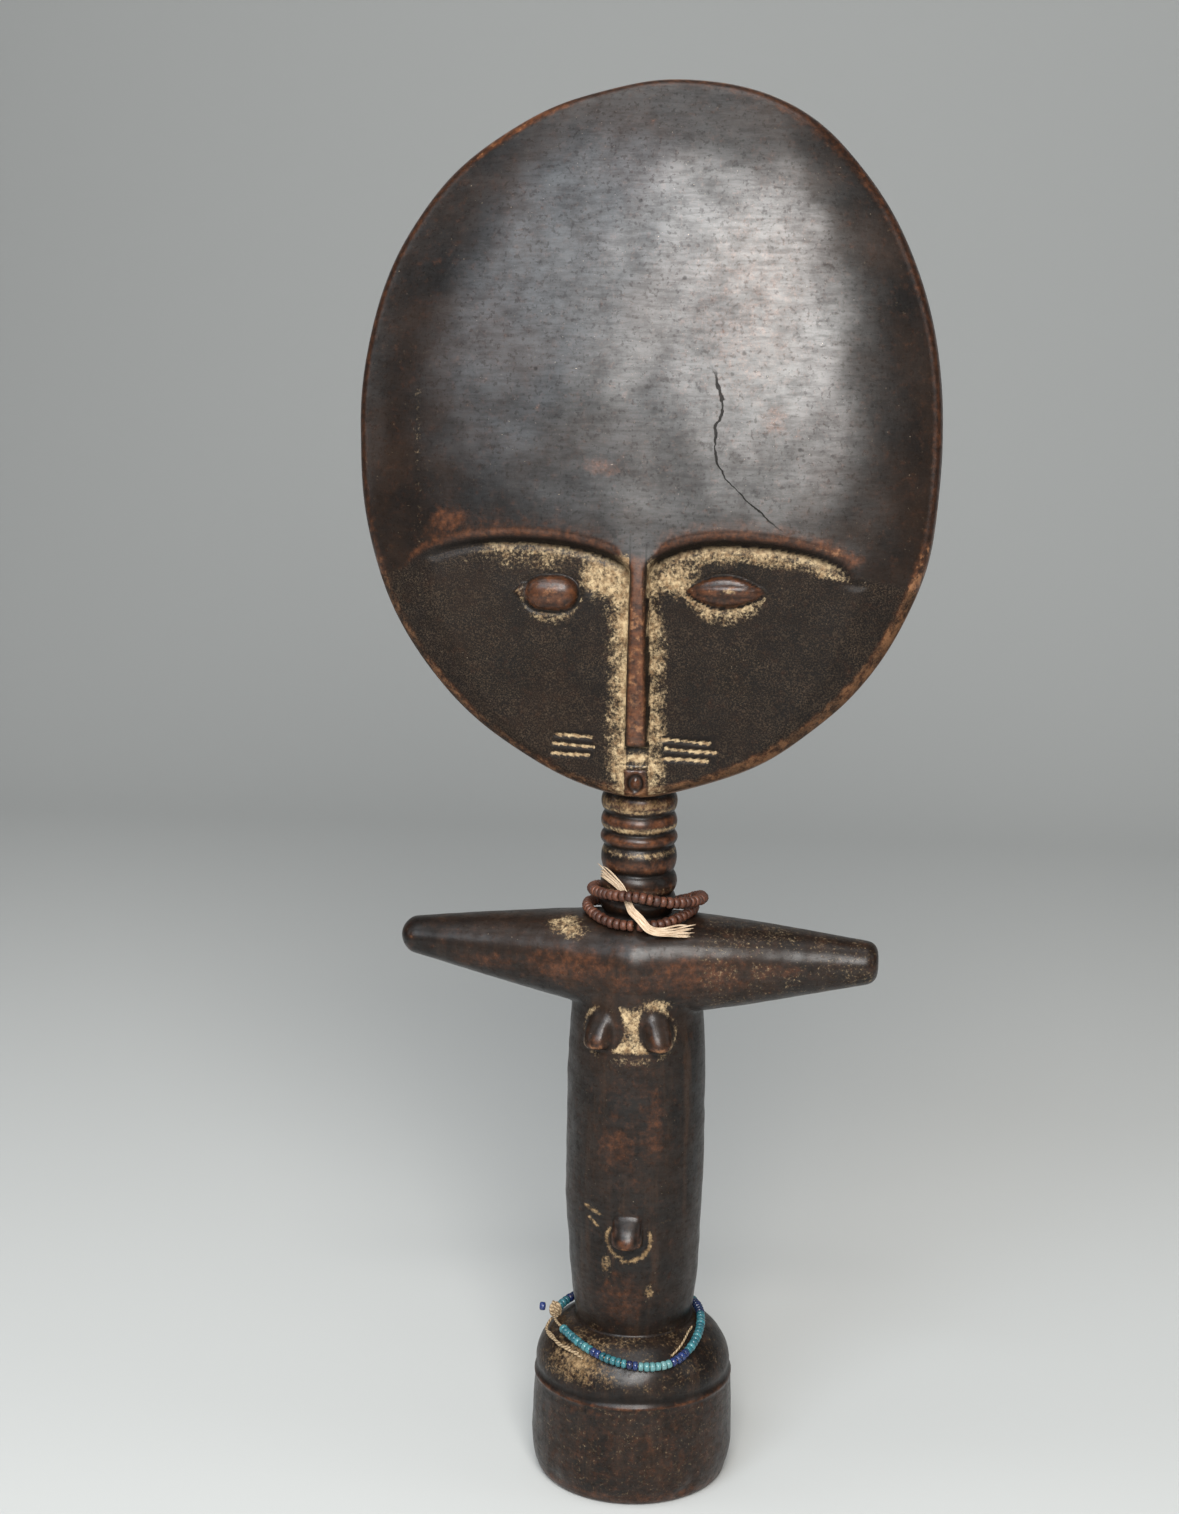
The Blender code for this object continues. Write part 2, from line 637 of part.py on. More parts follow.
def bead_string(name, route, diameter, pitch, material):
    """Beads threaded close together, as one solid: a crest for each bead and a waist between."""
    points = along_route(route, pitch / 2)
    if len(points) % 2 == 0:
        points = points[:-1]
    crest, waist = diameter / 2, diameter * BEAD_WAIST_SHARE
    radii = [waist if index % 2 == 0 else crest for index in range(len(points))]
    skin(name, tube_rings(points, radii, STRING_SIDES), material)


def smooth_step(value):
    """0 below 0, 1 above 1, and an even curve between."""
    value = min(max(value, 0.0), 1.0)
    return value * value * (3 - 2 * value)


def necklace_turn(turn_deg, level):
    """Point of the necklace at an angle round the neck. Level 0 lies on the shoulders, and level 1
    is the second turn: it lies on the first, and its front is held up by the tie."""
    bead = NECKLACE_BEAD_DIAMETER / 2
    slack = FIRST_TURN_SLACK + (SECOND_TURN_SLACK - FIRST_TURN_SLACK) * level
    radius = NECK_RADIUS + bead + CLEARANCE + slack
    turn = math.radians(turn_deg)
    x = FIRST_TURN_SIDE + (SECOND_TURN_SIDE - FIRST_TURN_SIDE) * level + radius * math.cos(turn)
    y = FIRST_TURN_BACK + (SECOND_TURN_BACK - FIRST_TURN_BACK) * level + radius * math.sin(turn)
    low = rest_height(shoulder_height, x, y, bead) + CLEARANCE
    front = (0.5 - 0.5 * math.sin(turn)) ** SECOND_TURN_NARROWNESS
    lift = SECOND_TURN_FRONT_LIFT * front - SECOND_TURN_LEAN * math.cos(turn)
    lift += NECKLACE_BEAD_DIAMETER + CLEARANCE
    return np.array((x, y, low + lift * level))


def necklace_route():
    """Two turns that start and end at the knot in front. They change places behind the neck, where
    one passes inside the other."""
    bead = NECKLACE_BEAD_DIAMETER / 2
    front_deg, reach_deg = -90.0, NECKLACE_CROSSING_REACH_DEG
    start_deg = front_deg + NECKLACE_KNOT_DEG
    route = []
    for turn_deg in np.arange(start_deg, front_deg + 720.0 - NECKLACE_KNOT_DEG, STRING_STEP_DEG):
        beyond = turn_deg - NECKLACE_CROSSING_DEG + reach_deg
        first = smooth_step(beyond / (2 * reach_deg))
        second = smooth_step((beyond - 360.0) / (2 * reach_deg))
        turn = math.radians(turn_deg)
        outward = np.array((math.cos(turn), math.sin(turn), 0.0))
        passing = 4 * (second * (1 - second) - first * (1 - first))
        point = necklace_turn(turn_deg, first - second)
        route.append(point + outward * passing * (bead + CLEARANCE))
    return route


def bell(value):
    """1 at 0, falling to nearly nothing at 2 on either side."""
    return math.exp(-(value**2))


def turn_between(turn_deg, other_deg):
    """Angle from one turn to another, the short way round."""
    return (turn_deg - other_deg + 180.0) % 360.0 - 180.0


def anklet_radius(turn_deg):
    """Distance of the anklet from the axis: close to the torso's foot, slack at the front right, and
    held off a little by the knot."""
    sag = turn_between(turn_deg, ANKLET_SAG_DEG)
    sag /= ANKLET_SAG_LEFT_DEG if sag < 0 else ANKLET_SAG_RIGHT_DEG
    knot = turn_between(turn_deg, ANKLET_KNOT_DEG) / ANKLET_KNOT_STAND_DEG
    close = TORSO_FOOT_RADIUS + ANKLET_BEAD_DIAMETER / 2 + 2 * CLEARANCE
    return close + ANKLET_SAG * bell(sag) + ANKLET_KNOT_STAND * bell(knot)


def anklet_point(turn_deg):
    """Point of the anklet at an angle round the torso's foot, where it lies on the base's dome."""
    turn = math.radians(turn_deg)
    x = anklet_radius(turn_deg) * math.cos(turn)
    y = anklet_radius(turn_deg) * math.sin(turn)
    bead = ANKLET_BEAD_DIAMETER / 2
    return np.array((x, y, rest_height(base_shoulder_height, x, y, bead) + CLEARANCE))


def anklet_route():
    """From the bare thread in front of the knot, round the front and the back to the knot."""
    knot_deg = math.degrees((KNOT_DIAMETER / 2 + 2 * CLEARANCE) / anklet_radius(ANKLET_KNOT_DEG))
    turns = np.arange(ANKLET_BARE_DEG, 360 + ANKLET_KNOT_DEG - knot_deg, STRING_STEP_DEG)
    return [anklet_point(turn) for turn in turns]


def anklet_tie(material):
    """The bare thread between the beads' ends, swollen where it is knotted."""
    bead = ANKLET_BEAD_DIAMETER / 2
    gap_deg = math.degrees((bead + CLEARANCE) / anklet_radius(ANKLET_BARE_DEG))
    turns = np.linspace(ANKLET_KNOT_DEG - KNOT_REACH_DEG, ANKLET_BARE_DEG - gap_deg, 14)
    points, radii = [], []
    for turn in turns:
        near_knot = bell((turn - ANKLET_KNOT_DEG) / KNOT_REACH_DEG)
        radius = THREAD_DIAMETER / 2 + (KNOT_DIAMETER - THREAD_DIAMETER) / 2 * near_knot
        point = anklet_point(turn)
        point[2] += max(0.0, radius - bead) + CLEARANCE
        points.append(point)
        radii.append(radius)
    skin("anklet_tie", tube_rings(points, radii, THREAD_SIDES), material)


def end_bead(material):
    """The single bead on the thread's cut end, just outside the knot."""
    knot = anklet_point(ANKLET_KNOT_DEG)
    turn = math.radians(ANKLET_KNOT_DEG)
    outward = np.array((math.cos(turn), math.sin(turn), 0.0))
    start = knot + outward * (KNOT_DIAMETER / 2 + 3 * CLEARANCE)
    start[2] += ANKLET_BEAD_DIAMETER / 2
    crest, waist = ANKLET_BEAD_DIAMETER / 2, ANKLET_BEAD_DIAMETER * BEAD_WAIST_SHARE
    marks = (0.0, 0.2, 0.8, 1.0)
    points = [start + outward * ANKLET_BEAD_PITCH * mark for mark in marks]
    radii = (waist, crest, crest, waist)
    skin("end_bead", tube_rings(points, radii, END_BEAD_SIDES), material)


def raffia_tie(material):
    """A flat strip of raffia: its short end stands up beside the neck, it passes behind the second
    turn and over the first, and its long end lies down on the shoulder's slope."""
    bead = NECKLACE_BEAD_DIAMETER / 2
    off = bead + CLEARANCE + RAFFIA_THICKNESS / 2
    # Angle round the neck, which turn it is measured from, offsets outward and up in beads' radii
    # from that turn, how far the strip leans back on the slope, and its width as a share of the way
    # from its waist to its ends
    stations = (
        (-158.0, 1, -0.50, 4.00, 0.0, 1.0),
        (-146.0, 1, -0.66, 3.50, 0.0, 0.85),
        (-136.0, 1, -0.78, 2.80, 0.0, 0.6),
        (-126.0, 1, -0.86, 2.00, 0.0, 0.35),
        (-118.0, 1, -0.94, 1.20, 0.0, 0.15),
        (-113.0, 1, -1.02, 0.00, 0.0, 0.0),
        (-106.0, 1, -0.75, -1.60, 0.0, 0.0),
        (-94.0, 0, 0.10, 2.65, 0.1, 0.0),
        (-87.5, 0, 0.55, 1.90, 0.2, 0.0),
        (-83.0, 0, 1.02, 1.20, 0.2, 0.0),
        (-80.0, 0, 1.20, 0.50, 0.1, 0.0),
        (-77.0, 0, 1.25, -0.10, 0.2, 0.0),
        (-72.0, 0, 1.25, -0.55, 0.5, 0.05),
        (-62.0, 0, 1.35, -0.95, 0.9, 0.35),
        (-51.5, 0, 1.45, -1.35, 1.0, 0.7),
        (-42.0, 0, 1.80, -1.62, 1.0, 0.9),
        (-34.5, 0, 2.45, -1.74, 1.0, 1.0),
    )
    middles, halves, facings = [], [], []
    for turn_deg, level, out, up, lean, flare in stations:
        turn = math.radians(turn_deg)
        outward = np.array((math.cos(turn), math.sin(turn), 0.0))
        middle = necklace_turn(turn_deg, level) + outward * off * out
        middle[2] += bead * up
        middles.append(middle)
        lean_angle = math.radians(RAFFIA_LEAN_DEG) * lean
        facing = outward * math.cos(lean_angle)
        facing[2] = math.sin(lean_angle)
        facings.append(facing)
        halves.append((RAFFIA_WIDTH + (RAFFIA_END_WIDTH - RAFFIA_WIDTH) * flare) / 2)
    ways = np.gradient(np.array(middles), axis=0)
    rings = []
    for middle, half, facing, way in zip(middles, halves, facings, ways):
        across = np.cross(facing, way)
        across /= np.linalg.norm(across)
        flat = np.cross(way, across)
        flat /= np.linalg.norm(flat)
        thick = flat * RAFFIA_THICKNESS / 2
        wide = across * half
        corners = ((-1, -1), (1, -1), (1, 1), (-1, 1))
        rings.append([tuple(middle + a * wide + b * thick) for a, b in corners])
    skin("raffia_tie", rings, material)


def build():
    clear_scene()
    wood = finish("dark carved wood", (0.045, 0.028, 0.018), 0.42)
    brown = finish("brown beads", (0.16, 0.06, 0.03), 0.45)
    straw = finish("raffia", (0.62, 0.46, 0.28), 0.75)
    glass = finish("turquoise glass beads", (0.04, 0.30, 0.32), 0.15)
    blue = finish("blue glass bead", (0.01, 0.03, 0.20), 0.15)
    thread = finish("cotton thread", (0.50, 0.36, 0.20), 0.85)
    carve_figure(wood)
    bead_string("necklace", necklace_route(), NECKLACE_BEAD_DIAMETER, NECKLACE_BEAD_PITCH, brown)
    raffia_tie(straw)
    bead_string("anklet", anklet_route(), ANKLET_BEAD_DIAMETER, ANKLET_BEAD_PITCH, glass)
    anklet_tie(thread)
    end_bead(blue)


build()
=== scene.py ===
import math

import bpy
import numpy as np
from mathutils import Matrix, Vector


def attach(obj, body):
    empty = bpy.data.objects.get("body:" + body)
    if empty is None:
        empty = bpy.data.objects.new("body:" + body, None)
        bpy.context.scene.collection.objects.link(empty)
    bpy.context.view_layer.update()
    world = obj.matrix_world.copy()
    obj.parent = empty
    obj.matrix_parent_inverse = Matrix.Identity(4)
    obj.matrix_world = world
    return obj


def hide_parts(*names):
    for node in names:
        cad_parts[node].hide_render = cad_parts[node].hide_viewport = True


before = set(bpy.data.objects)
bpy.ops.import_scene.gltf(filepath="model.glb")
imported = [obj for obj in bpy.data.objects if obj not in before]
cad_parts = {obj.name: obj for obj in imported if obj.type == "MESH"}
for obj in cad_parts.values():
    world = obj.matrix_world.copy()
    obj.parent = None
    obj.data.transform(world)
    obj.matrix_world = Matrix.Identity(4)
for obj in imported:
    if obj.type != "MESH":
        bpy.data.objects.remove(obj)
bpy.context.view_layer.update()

# Camera
# It stands in front of the doll, a little towards +X and level with the forehead, and looks down
# 10.5 degrees. The doll's middle line lies right of the picture's middle.
IMAGE_HEIGHT = 1514
SENSOR = 36.0
FOCAL_PIXELS = 2360.0
CAMERA_AZIMUTH = math.radians(6.0)
CAMERA_DISTANCE = 0.559
CAMERA_HEIGHT = 0.286
CAMERA_PITCH = math.radians(10.5)
CAMERA_TURN = math.radians(1.25)
CAMERA_ROLL = math.radians(0.5)
CLIP_START = 0.01


def place_camera():
    """The camera's axes: forward from the heading and the pitch, right level with the floor, then
    both turned by the roll."""
    heading = CAMERA_AZIMUTH + CAMERA_TURN
    level = math.cos(CAMERA_PITCH)
    forward = Vector((-math.sin(heading) * level, math.cos(heading) * level, -math.sin(CAMERA_PITCH)))
    right = Vector((math.cos(heading), math.sin(heading), 0.0))
    up = right.cross(forward)
    side = right * math.cos(CAMERA_ROLL) + up * math.sin(CAMERA_ROLL)
    top = up * math.cos(CAMERA_ROLL) - right * math.sin(CAMERA_ROLL)
    axes = Matrix((side, top, -forward)).transposed().to_4x4()
    away = Vector((math.sin(CAMERA_AZIMUTH), -math.cos(CAMERA_AZIMUTH), 0.0)) * CAMERA_DISTANCE
    axes.translation = away + Vector((0.0, 0.0, CAMERA_HEIGHT))
    data = bpy.data.cameras.new("camera")
    data.sensor_width = SENSOR
    data.lens = FOCAL_PIXELS / IMAGE_HEIGHT * SENSOR
    data.clip_start = CLIP_START
    camera = bpy.data.objects.new("camera", data)
    camera.matrix_world = axes
    bpy.context.scene.collection.objects.link(camera)
    bpy.context.scene.camera = camera


place_camera()

# Studio
# A pale floor sweeps up into a backdrop behind the doll. Two tall window-like panels above the
# camera, a warm one and a cooler, weaker one to its left, give the broad sheen on the forehead.
FLOOR_REACH = 1.6
BACKDROP_START = 0.75
BACKDROP_BEND = 0.55
BACKDROP_HEIGHT = 1.5
STUDIO_GREY = (0.53, 0.54, 0.53, 1.0)
DIM_SKY = (0.80, 0.86, 0.95, 1.0)
DIM_SKY_STRENGTH = 0.05
FLOOR_ROUGHNESS, FLOOR_SPECULAR = 0.9, 0.1
HEAD_MIDDLE = Vector((0.0, 0.0, 0.25))
PANEL_DISTANCE = 1.0


def grid_faces(rows, columns, wrapped):
    """Quads between the neighbouring points of a grid that is numbered row by row. A wrapped grid
    joins its last column to its first."""
    r, c = np.meshgrid(np.arange(rows - 1), np.arange(columns - (not wrapped)), indexing="ij")
    low, high, after = r * columns, (r + 1) * columns, (c + 1) % columns
    return np.stack([low + c, low + after, high + after, high + c], axis=-1).reshape(-1, 4)


def new_piece(name, points, faces):
    """A smooth-shaded mesh from an array of points and lists of faces."""
    mesh = bpy.data.meshes.new(name)
    mesh.from_pydata(np.asarray(points).reshape(-1, 3).tolist(), [], faces)
    mesh.shade_smooth()
    mesh.update()
    piece = bpy.data.objects.new(name, mesh)
    bpy.context.scene.collection.objects.link(piece)
    return piece


def place_node(tree, kind, settings=None, **inputs):
    """A shader node with its settings, whose inputs are values or the sockets that feed them. An
    input's name has its spaces as underscores, and a number stands for its place in the list."""
    made = tree.nodes.new(kind)
    for key, value in (settings or {}).items():
        setattr(made, key, value)
    for key, value in inputs.items():
        socket = made.inputs[int(key[1:]) if key[1:].isdigit() else key.replace("_", " ")]
        if isinstance(value, bpy.types.NodeSocket):
            tree.links.new(value, socket)
        else:
            socket.default_value = value
    return made


def new_material(name):
    """An empty material: (material, its node tree, its Principled shader)."""
    material = bpy.data.materials.new(name)
    material.use_nodes = True
    tree = material.node_tree
    return material, tree, tree.nodes["Principled BSDF"]


def build_studio():
    """The floor and backdrop are one sheet: straight, then round a quarter circle, then up."""
    turns = np.linspace(0.0, math.pi / 2, 24)
    bend_y = BACKDROP_START + BACKDROP_BEND * np.sin(turns)
    bend_z = BACKDROP_BEND * (1 - np.cos(turns))
    y = np.concatenate([[-FLOOR_REACH], bend_y, [bend_y[-1]]])
    z = np.concatenate([[0.0], bend_z, [BACKDROP_HEIGHT]])
    points = np.empty((len(y), 2, 3))
    points[..., 0] = (-FLOOR_REACH, FLOOR_REACH)
    points[..., 1] = y[:, None]
    points[..., 2] = z[:, None]
    floor = new_piece("floor", points, grid_faces(len(y), 2, False)[:, ::-1].tolist())
    material, _, shader = new_material("pale matt floor")
    shader.inputs["Base Color"].default_value = STUDIO_GREY
    shader.inputs["Roughness"].default_value = FLOOR_ROUGHNESS
    shader.inputs["Specular IOR Level"].default_value = FLOOR_SPECULAR
    floor.data.materials.append(material)


def panel(name, azimuth, elevation, width, height, radiance, colour=(1.0, 1.0, 1.0)):
    """A rectangular soft light, seen from the head at an azimuth and elevation in degrees. A flat
    lamp's power is its radiance times pi times its area."""
    a, e = math.radians(azimuth), math.radians(elevation)
    way = Vector((math.sin(a) * math.cos(e), -math.cos(a) * math.cos(e), math.sin(e)))
    data = bpy.data.lights.new(name, "AREA")
    data.shape = "RECTANGLE"
    data.size, data.size_y, data.color = width, height, colour
    data.energy = radiance * math.pi * width * height
    light = bpy.data.objects.new(name, data)
    light.location = HEAD_MIDDLE + way * PANEL_DISTANCE
    light.rotation_euler = way.to_track_quat("Z", "Y").to_euler()
    light.visible_camera = False
    bpy.context.scene.collection.objects.link(light)


def light_world():
    """The surroundings are dim, so that the wood stays dark, but show pale to the camera."""
    world = bpy.data.worlds.new("studio")
    bpy.context.scene.world = world
    world.use_nodes = True
    tree = world.node_tree
    rays = place_node(tree, "ShaderNodeLightPath")
    dim = tree.nodes["Background"]
    dim.inputs["Color"].default_value = DIM_SKY
    dim.inputs["Strength"].default_value = DIM_SKY_STRENGTH
    pale = place_node(tree, "ShaderNodeBackground", Color=STUDIO_GREY, Strength=1.0)
    to_camera = rays.outputs["Is Camera Ray"]
    seen = place_node(tree, "ShaderNodeMixShader", _0=to_camera, _1=dim.outputs[0], _2=pale.outputs[0])
    tree.links.new(seen.outputs[0], tree.nodes["World Output"].inputs["Surface"])


bpy.context.scene.view_settings.view_transform = "Standard"
build_studio()
light_world()
panel("right window", 9.0, 27.0, 0.44, 0.58, 20.0, (1.0, 0.98, 0.95))
panel("left window", -19.5, 33.0, 0.44, 0.66, 6.0, (0.84, 0.92, 1.0))
panel("overhead", -20.0, 80.0, 0.80, 0.80, 2.6)
panel("left side", -75.0, 25.0, 0.40, 0.90, 1.2)
panel("right side", 80.0, 20.0, 0.40, 0.90, 1.0)

# Base and torso
# The doll is cut from one block of hardwood. Its foot is a drum with a worn lower edge, a thin
# ridge and a full, rounded shoulder, and a barrel torso rises from that with breasts and a navel.
BASE_FOOT_RADIUS = 0.0220
BASE_RADIUS = 0.0256
BASE_FOOT_ROUND_HEIGHT = 0.0105
BASE_RIDGE_RADIUS = 0.0248
BASE_RIDGE_HEIGHT = 0.0260
BASE_DOME_HEIGHT = 0.0158
RIDGE_RISE, RIDGE_WIDTH = 0.00032, 0.0006
RIDGE_CUT_DEPTH, RIDGE_CUT_WIDTH, RIDGE_CUT_ABOVE = 0.00035, 0.0010, 0.0016
FOOT_CHIP_DEPTH = 0.0006
DRUM_WORN_DEPTH = 0.00022
DOME_FULLNESS, DOME_ROUNDNESS = 3.0, 2.3
TORSO_LENGTH = 0.0902
TORSO_FOOT_RADIUS = 0.0146
TORSO_RADIUS = 0.0170
TORSO_TOP_RADIUS = 0.0153
TORSO_WIDEST_SHARE = 0.58
BREAST_WIDTH = 0.0060
BREAST_HEIGHT = 0.0086
BREAST_PROJECTION = 0.0040
BREAST_PEAK, BREAST_DROOP = -0.42, 0.0013
BREAST_SIDES = (-0.0074, 0.0067)
BREAST_BELOW_ARM_AXIS = 0.0130
NAVEL_WIDTH = 0.0076
NAVEL_PROJECTION = 0.0044
NAVEL_PEAK, NAVEL_DROOP = -0.40, 0.0011
NAVEL_BELOW_ARM_AXIS = 0.0632
NAVEL_RING_RADIUS = 0.0054
NAVEL_RING_DROP = 0.0026
NAVEL_RING_DEPTH, NAVEL_STROKE_DEPTH = 0.00028, 0.00020
NAVEL_STROKES = (
    (-0.0113, 0.0049, 0.0055, -0.0022, 1.0), (-0.0102, 0.0021, 0.0036, -0.0026, 0.8),
    (0.0075, 0.0012, 0.0035, 0.0010, 0.35), (0.0072, -0.0022, 0.0030, -0.0004, 0.3),
)
BASE_TOP = BASE_RIDGE_HEIGHT + BASE_DOME_HEIGHT
ARM_AXIS = BASE_TOP + TORSO_LENGTH
BREAST_LEVEL = ARM_AXIS - BREAST_BELOW_ARM_AXIS
NAVEL_LEVEL = ARM_AXIS - NAVEL_BELOW_ARM_AXIS
UNEVEN_WAVES = 14
BODY_SPACING = 0.0012
TURN_SPACING, TURN_SPACING_MORE_BEHIND = 0.028, 0.050


def ramp(value):
    """0 below 0, 1 above 1, and an even curve between."""
    value = np.clip(value, 0.0, 1.0)
    return value * value * (3 - 2 * value)


def bell(value):
    """1 at 0, falling to nearly nothing at 2 on either side."""
    return np.exp(-(value**2))


def unevenness(points, wavelength, seed):
    """Gentle hand-cut waviness between about -1 and 1: a scaled sum of sine waves that run in
    seeded directions, with wavelengths spread round the one given."""
    draw = np.random.default_rng(seed)
    ways = draw.normal(size=(UNEVEN_WAVES, 3))
    ways /= np.linalg.norm(ways, axis=1)[:, None]
    lengths = wavelength * draw.uniform(0.6, 1.7, UNEVEN_WAVES)
    phases = draw.uniform(0.0, 2 * math.pi, UNEVEN_WAVES)
    waves = np.sin(points @ (ways / lengths[:, None] * 2 * math.pi).T + phases)
    return waves.sum(axis=-1) / math.sqrt(UNEVEN_WAVES) / 1.4


def stations(low, high, spacing):
    """Positions from low to high, as far apart as a function of position says: the running total of
    1/spacing is read back at whole numbers. Their gaps are even in number."""
    x = np.linspace(low, high, 4001)
    total = np.concatenate([[0.0], np.cumsum(np.diff(x) / spacing((x[1:] + x[:-1]) / 2))])
    gaps = 2 * round(total[-1] / 2)
    return np.interp(np.linspace(0.0, total[-1], gaps + 1), total, x)


def closed_tube(rings, start, end, first=0):
    """Points and faces of rings that are joined in a row, each end closed on a point: (points,
    faces). The rings turn right-handed about the way they advance."""
    rows, columns = rings.shape[:2]
    points = np.concatenate([rings.reshape(-1, 3), [start, end]])
    here = np.arange(columns)
    after = (here + 1) % columns
    near = np.stack([np.full(columns, rows * columns), after, here], axis=-1)
    far_row = (rows - 1) * columns
    far = np.stack([np.full(columns, rows * columns + 1), far_row + here, far_row + after], axis=-1)
    sides = grid_faces(rows, columns, True)
    return points, (sides + first).tolist() + (near + first).tolist() + (far + first).tolist()


def dome_height(radius):
    """Height of the base's shoulder at a distance from the axis: steep above the ridge, then over
    in a full curve, (1 - share^a)^(1/b)."""
    share = np.clip(radius / BASE_RIDGE_RADIUS, 0.0, 1.0)
    return BASE_RIDGE_HEIGHT + BASE_DOME_HEIGHT * (1 - share**DOME_FULLNESS) ** (1 / DOME_ROUNDNESS)


def torso_radius(height):
    """Radius of the barrel: fullest at its widest share, drawn in quickly near the foot and evenly
    towards the top."""
    share = np.clip((height - BASE_TOP) / TORSO_LENGTH, 0.0, 1.0)
    below = np.clip(TORSO_WIDEST_SHARE - share, 0.0, None) / TORSO_WIDEST_SHARE
    above = np.clip(share - TORSO_WIDEST_SHARE, 0.0, None) / (1 - TORSO_WIDEST_SHARE)
    slimmer = (TORSO_RADIUS - TORSO_FOOT_RADIUS) * below**3.2
    return TORSO_RADIUS - slimmer - (TORSO_RADIUS - TORSO_TOP_RADIUS) * above**2


def profile_spacing(height):
    """Gap between the torso's rings at a height: smaller at the breasts and the navel."""
    at_breasts = bell((height - BREAST_LEVEL) / 0.006)
    at_navel = bell((height - NAVEL_LEVEL + 0.001) / 0.007)
    return BODY_SPACING - 0.0007 * np.maximum(at_breasts, at_navel)


def outward_ways(turns):
    """Level unit vectors at angles round the upright axis."""
    return np.stack([np.cos(turns), np.sin(turns), 0 * turns], axis=-1)


def body_profile():
    """(radius, height) from the flat foot up the drum, over the ridge and the dome, and up the
    torso to the arms' axis. The ridge is a thin raised line with a shallow cut above it."""
    flat = np.linspace(0.004, BASE_FOOT_RADIUS - 0.0006, 5)
    turn = np.linspace(0.0, math.pi / 2, 12)
    round_r = BASE_FOOT_RADIUS + (BASE_RADIUS - BASE_FOOT_RADIUS) * np.sin(turn)
    round_z = BASE_FOOT_ROUND_HEIGHT * (1 - np.cos(turn))
    up = 1 - (1 - np.linspace(0.0, 1.0, 26)[1:]) ** 1.8
    wall_r = BASE_RADIUS + (BASE_RIDGE_RADIUS - BASE_RADIUS) * up
    wall_z = BASE_FOOT_ROUND_HEIGHT + (BASE_RIDGE_HEIGHT - BASE_FOOT_ROUND_HEIGHT) * up
    share = 1 - np.linspace(0.0, 1.0, 41)[1:] ** 2.6 * (1 - TORSO_FOOT_RADIUS / BASE_RIDGE_RADIUS)
    dome_r = BASE_RIDGE_RADIUS * share
    fine = stations(dome_height(TORSO_FOOT_RADIUS) + 0.0004, ARM_AXIS, profile_spacing)
    radius = np.concatenate([flat, round_r, wall_r, dome_r, torso_radius(fine)])
    height = np.concatenate([flat * 0, round_z, wall_z, dome_height(dome_r), fine])
    above_ridge = height - BASE_RIDGE_HEIGHT
    radius += RIDGE_RISE * bell(above_ridge / RIDGE_WIDTH)
    radius -= RIDGE_CUT_DEPTH * bell((above_ridge - RIDGE_CUT_ABOVE) / RIDGE_CUT_WIDTH)
    return radius, height


def hanging_knob(across, up, width, tall, peak):
    """Rise of a knob that hangs: a quarter circle below its peak, a longer slope above it, and half
    an ellipse from side to side. The peak is a share of its half height."""
    place = up / (tall / 2)
    below = np.clip((peak - place) / (1 + peak), 0.0, 1.0)
    above = np.clip((place - peak) / (1 - peak), 0.0, 1.0)
    lengthwise = np.where(place < peak, np.sqrt(1 - below**2), (1 - above**2) ** 1.4)
    aside = across / (width / 2) / (0.70 + 0.30 * np.sqrt(1 - above**2))
    return lengthwise * np.sqrt(np.clip(1 - aside**2, 0.0, None))


def navel_ring(side, height):
    """1 along the ring cut round the navel, which is open at its top."""
    gap = np.hypot(side - 0.0004, height - NAVEL_LEVEL + NAVEL_RING_DROP) - NAVEL_RING_RADIUS
    return bell(gap / 0.00055) * ramp((NAVEL_LEVEL + 0.0012 - height) / 0.003)


def navel_scratches(side, height):
    """1 along the two short strokes at the navel's left and the two faint ones at its right. Each
    has its start, its run and rise, and its strength."""
    cut = np.zeros_like(side)
    for start_side, start_up, run, rise, strength in NAVEL_STROKES:
        length = math.hypot(run, rise)
        x, z = side - start_side, height - NAVEL_LEVEL - start_up
        along = (x * run + z * rise) / length
        off = (z * run - x * rise) / length
        span = ramp(along / 0.0008) * ramp((length - along) / 0.0012)
        cut = np.maximum(cut, strength * bell(off / 0.00052) * span)
    return cut


def turn_spacing(turn):
    """Angle between the body's columns: wider from the sides round to the back."""
    return TURN_SPACING + TURN_SPACING_MORE_BEHIND * ramp((np.abs(turn) - 0.95) / 0.6)


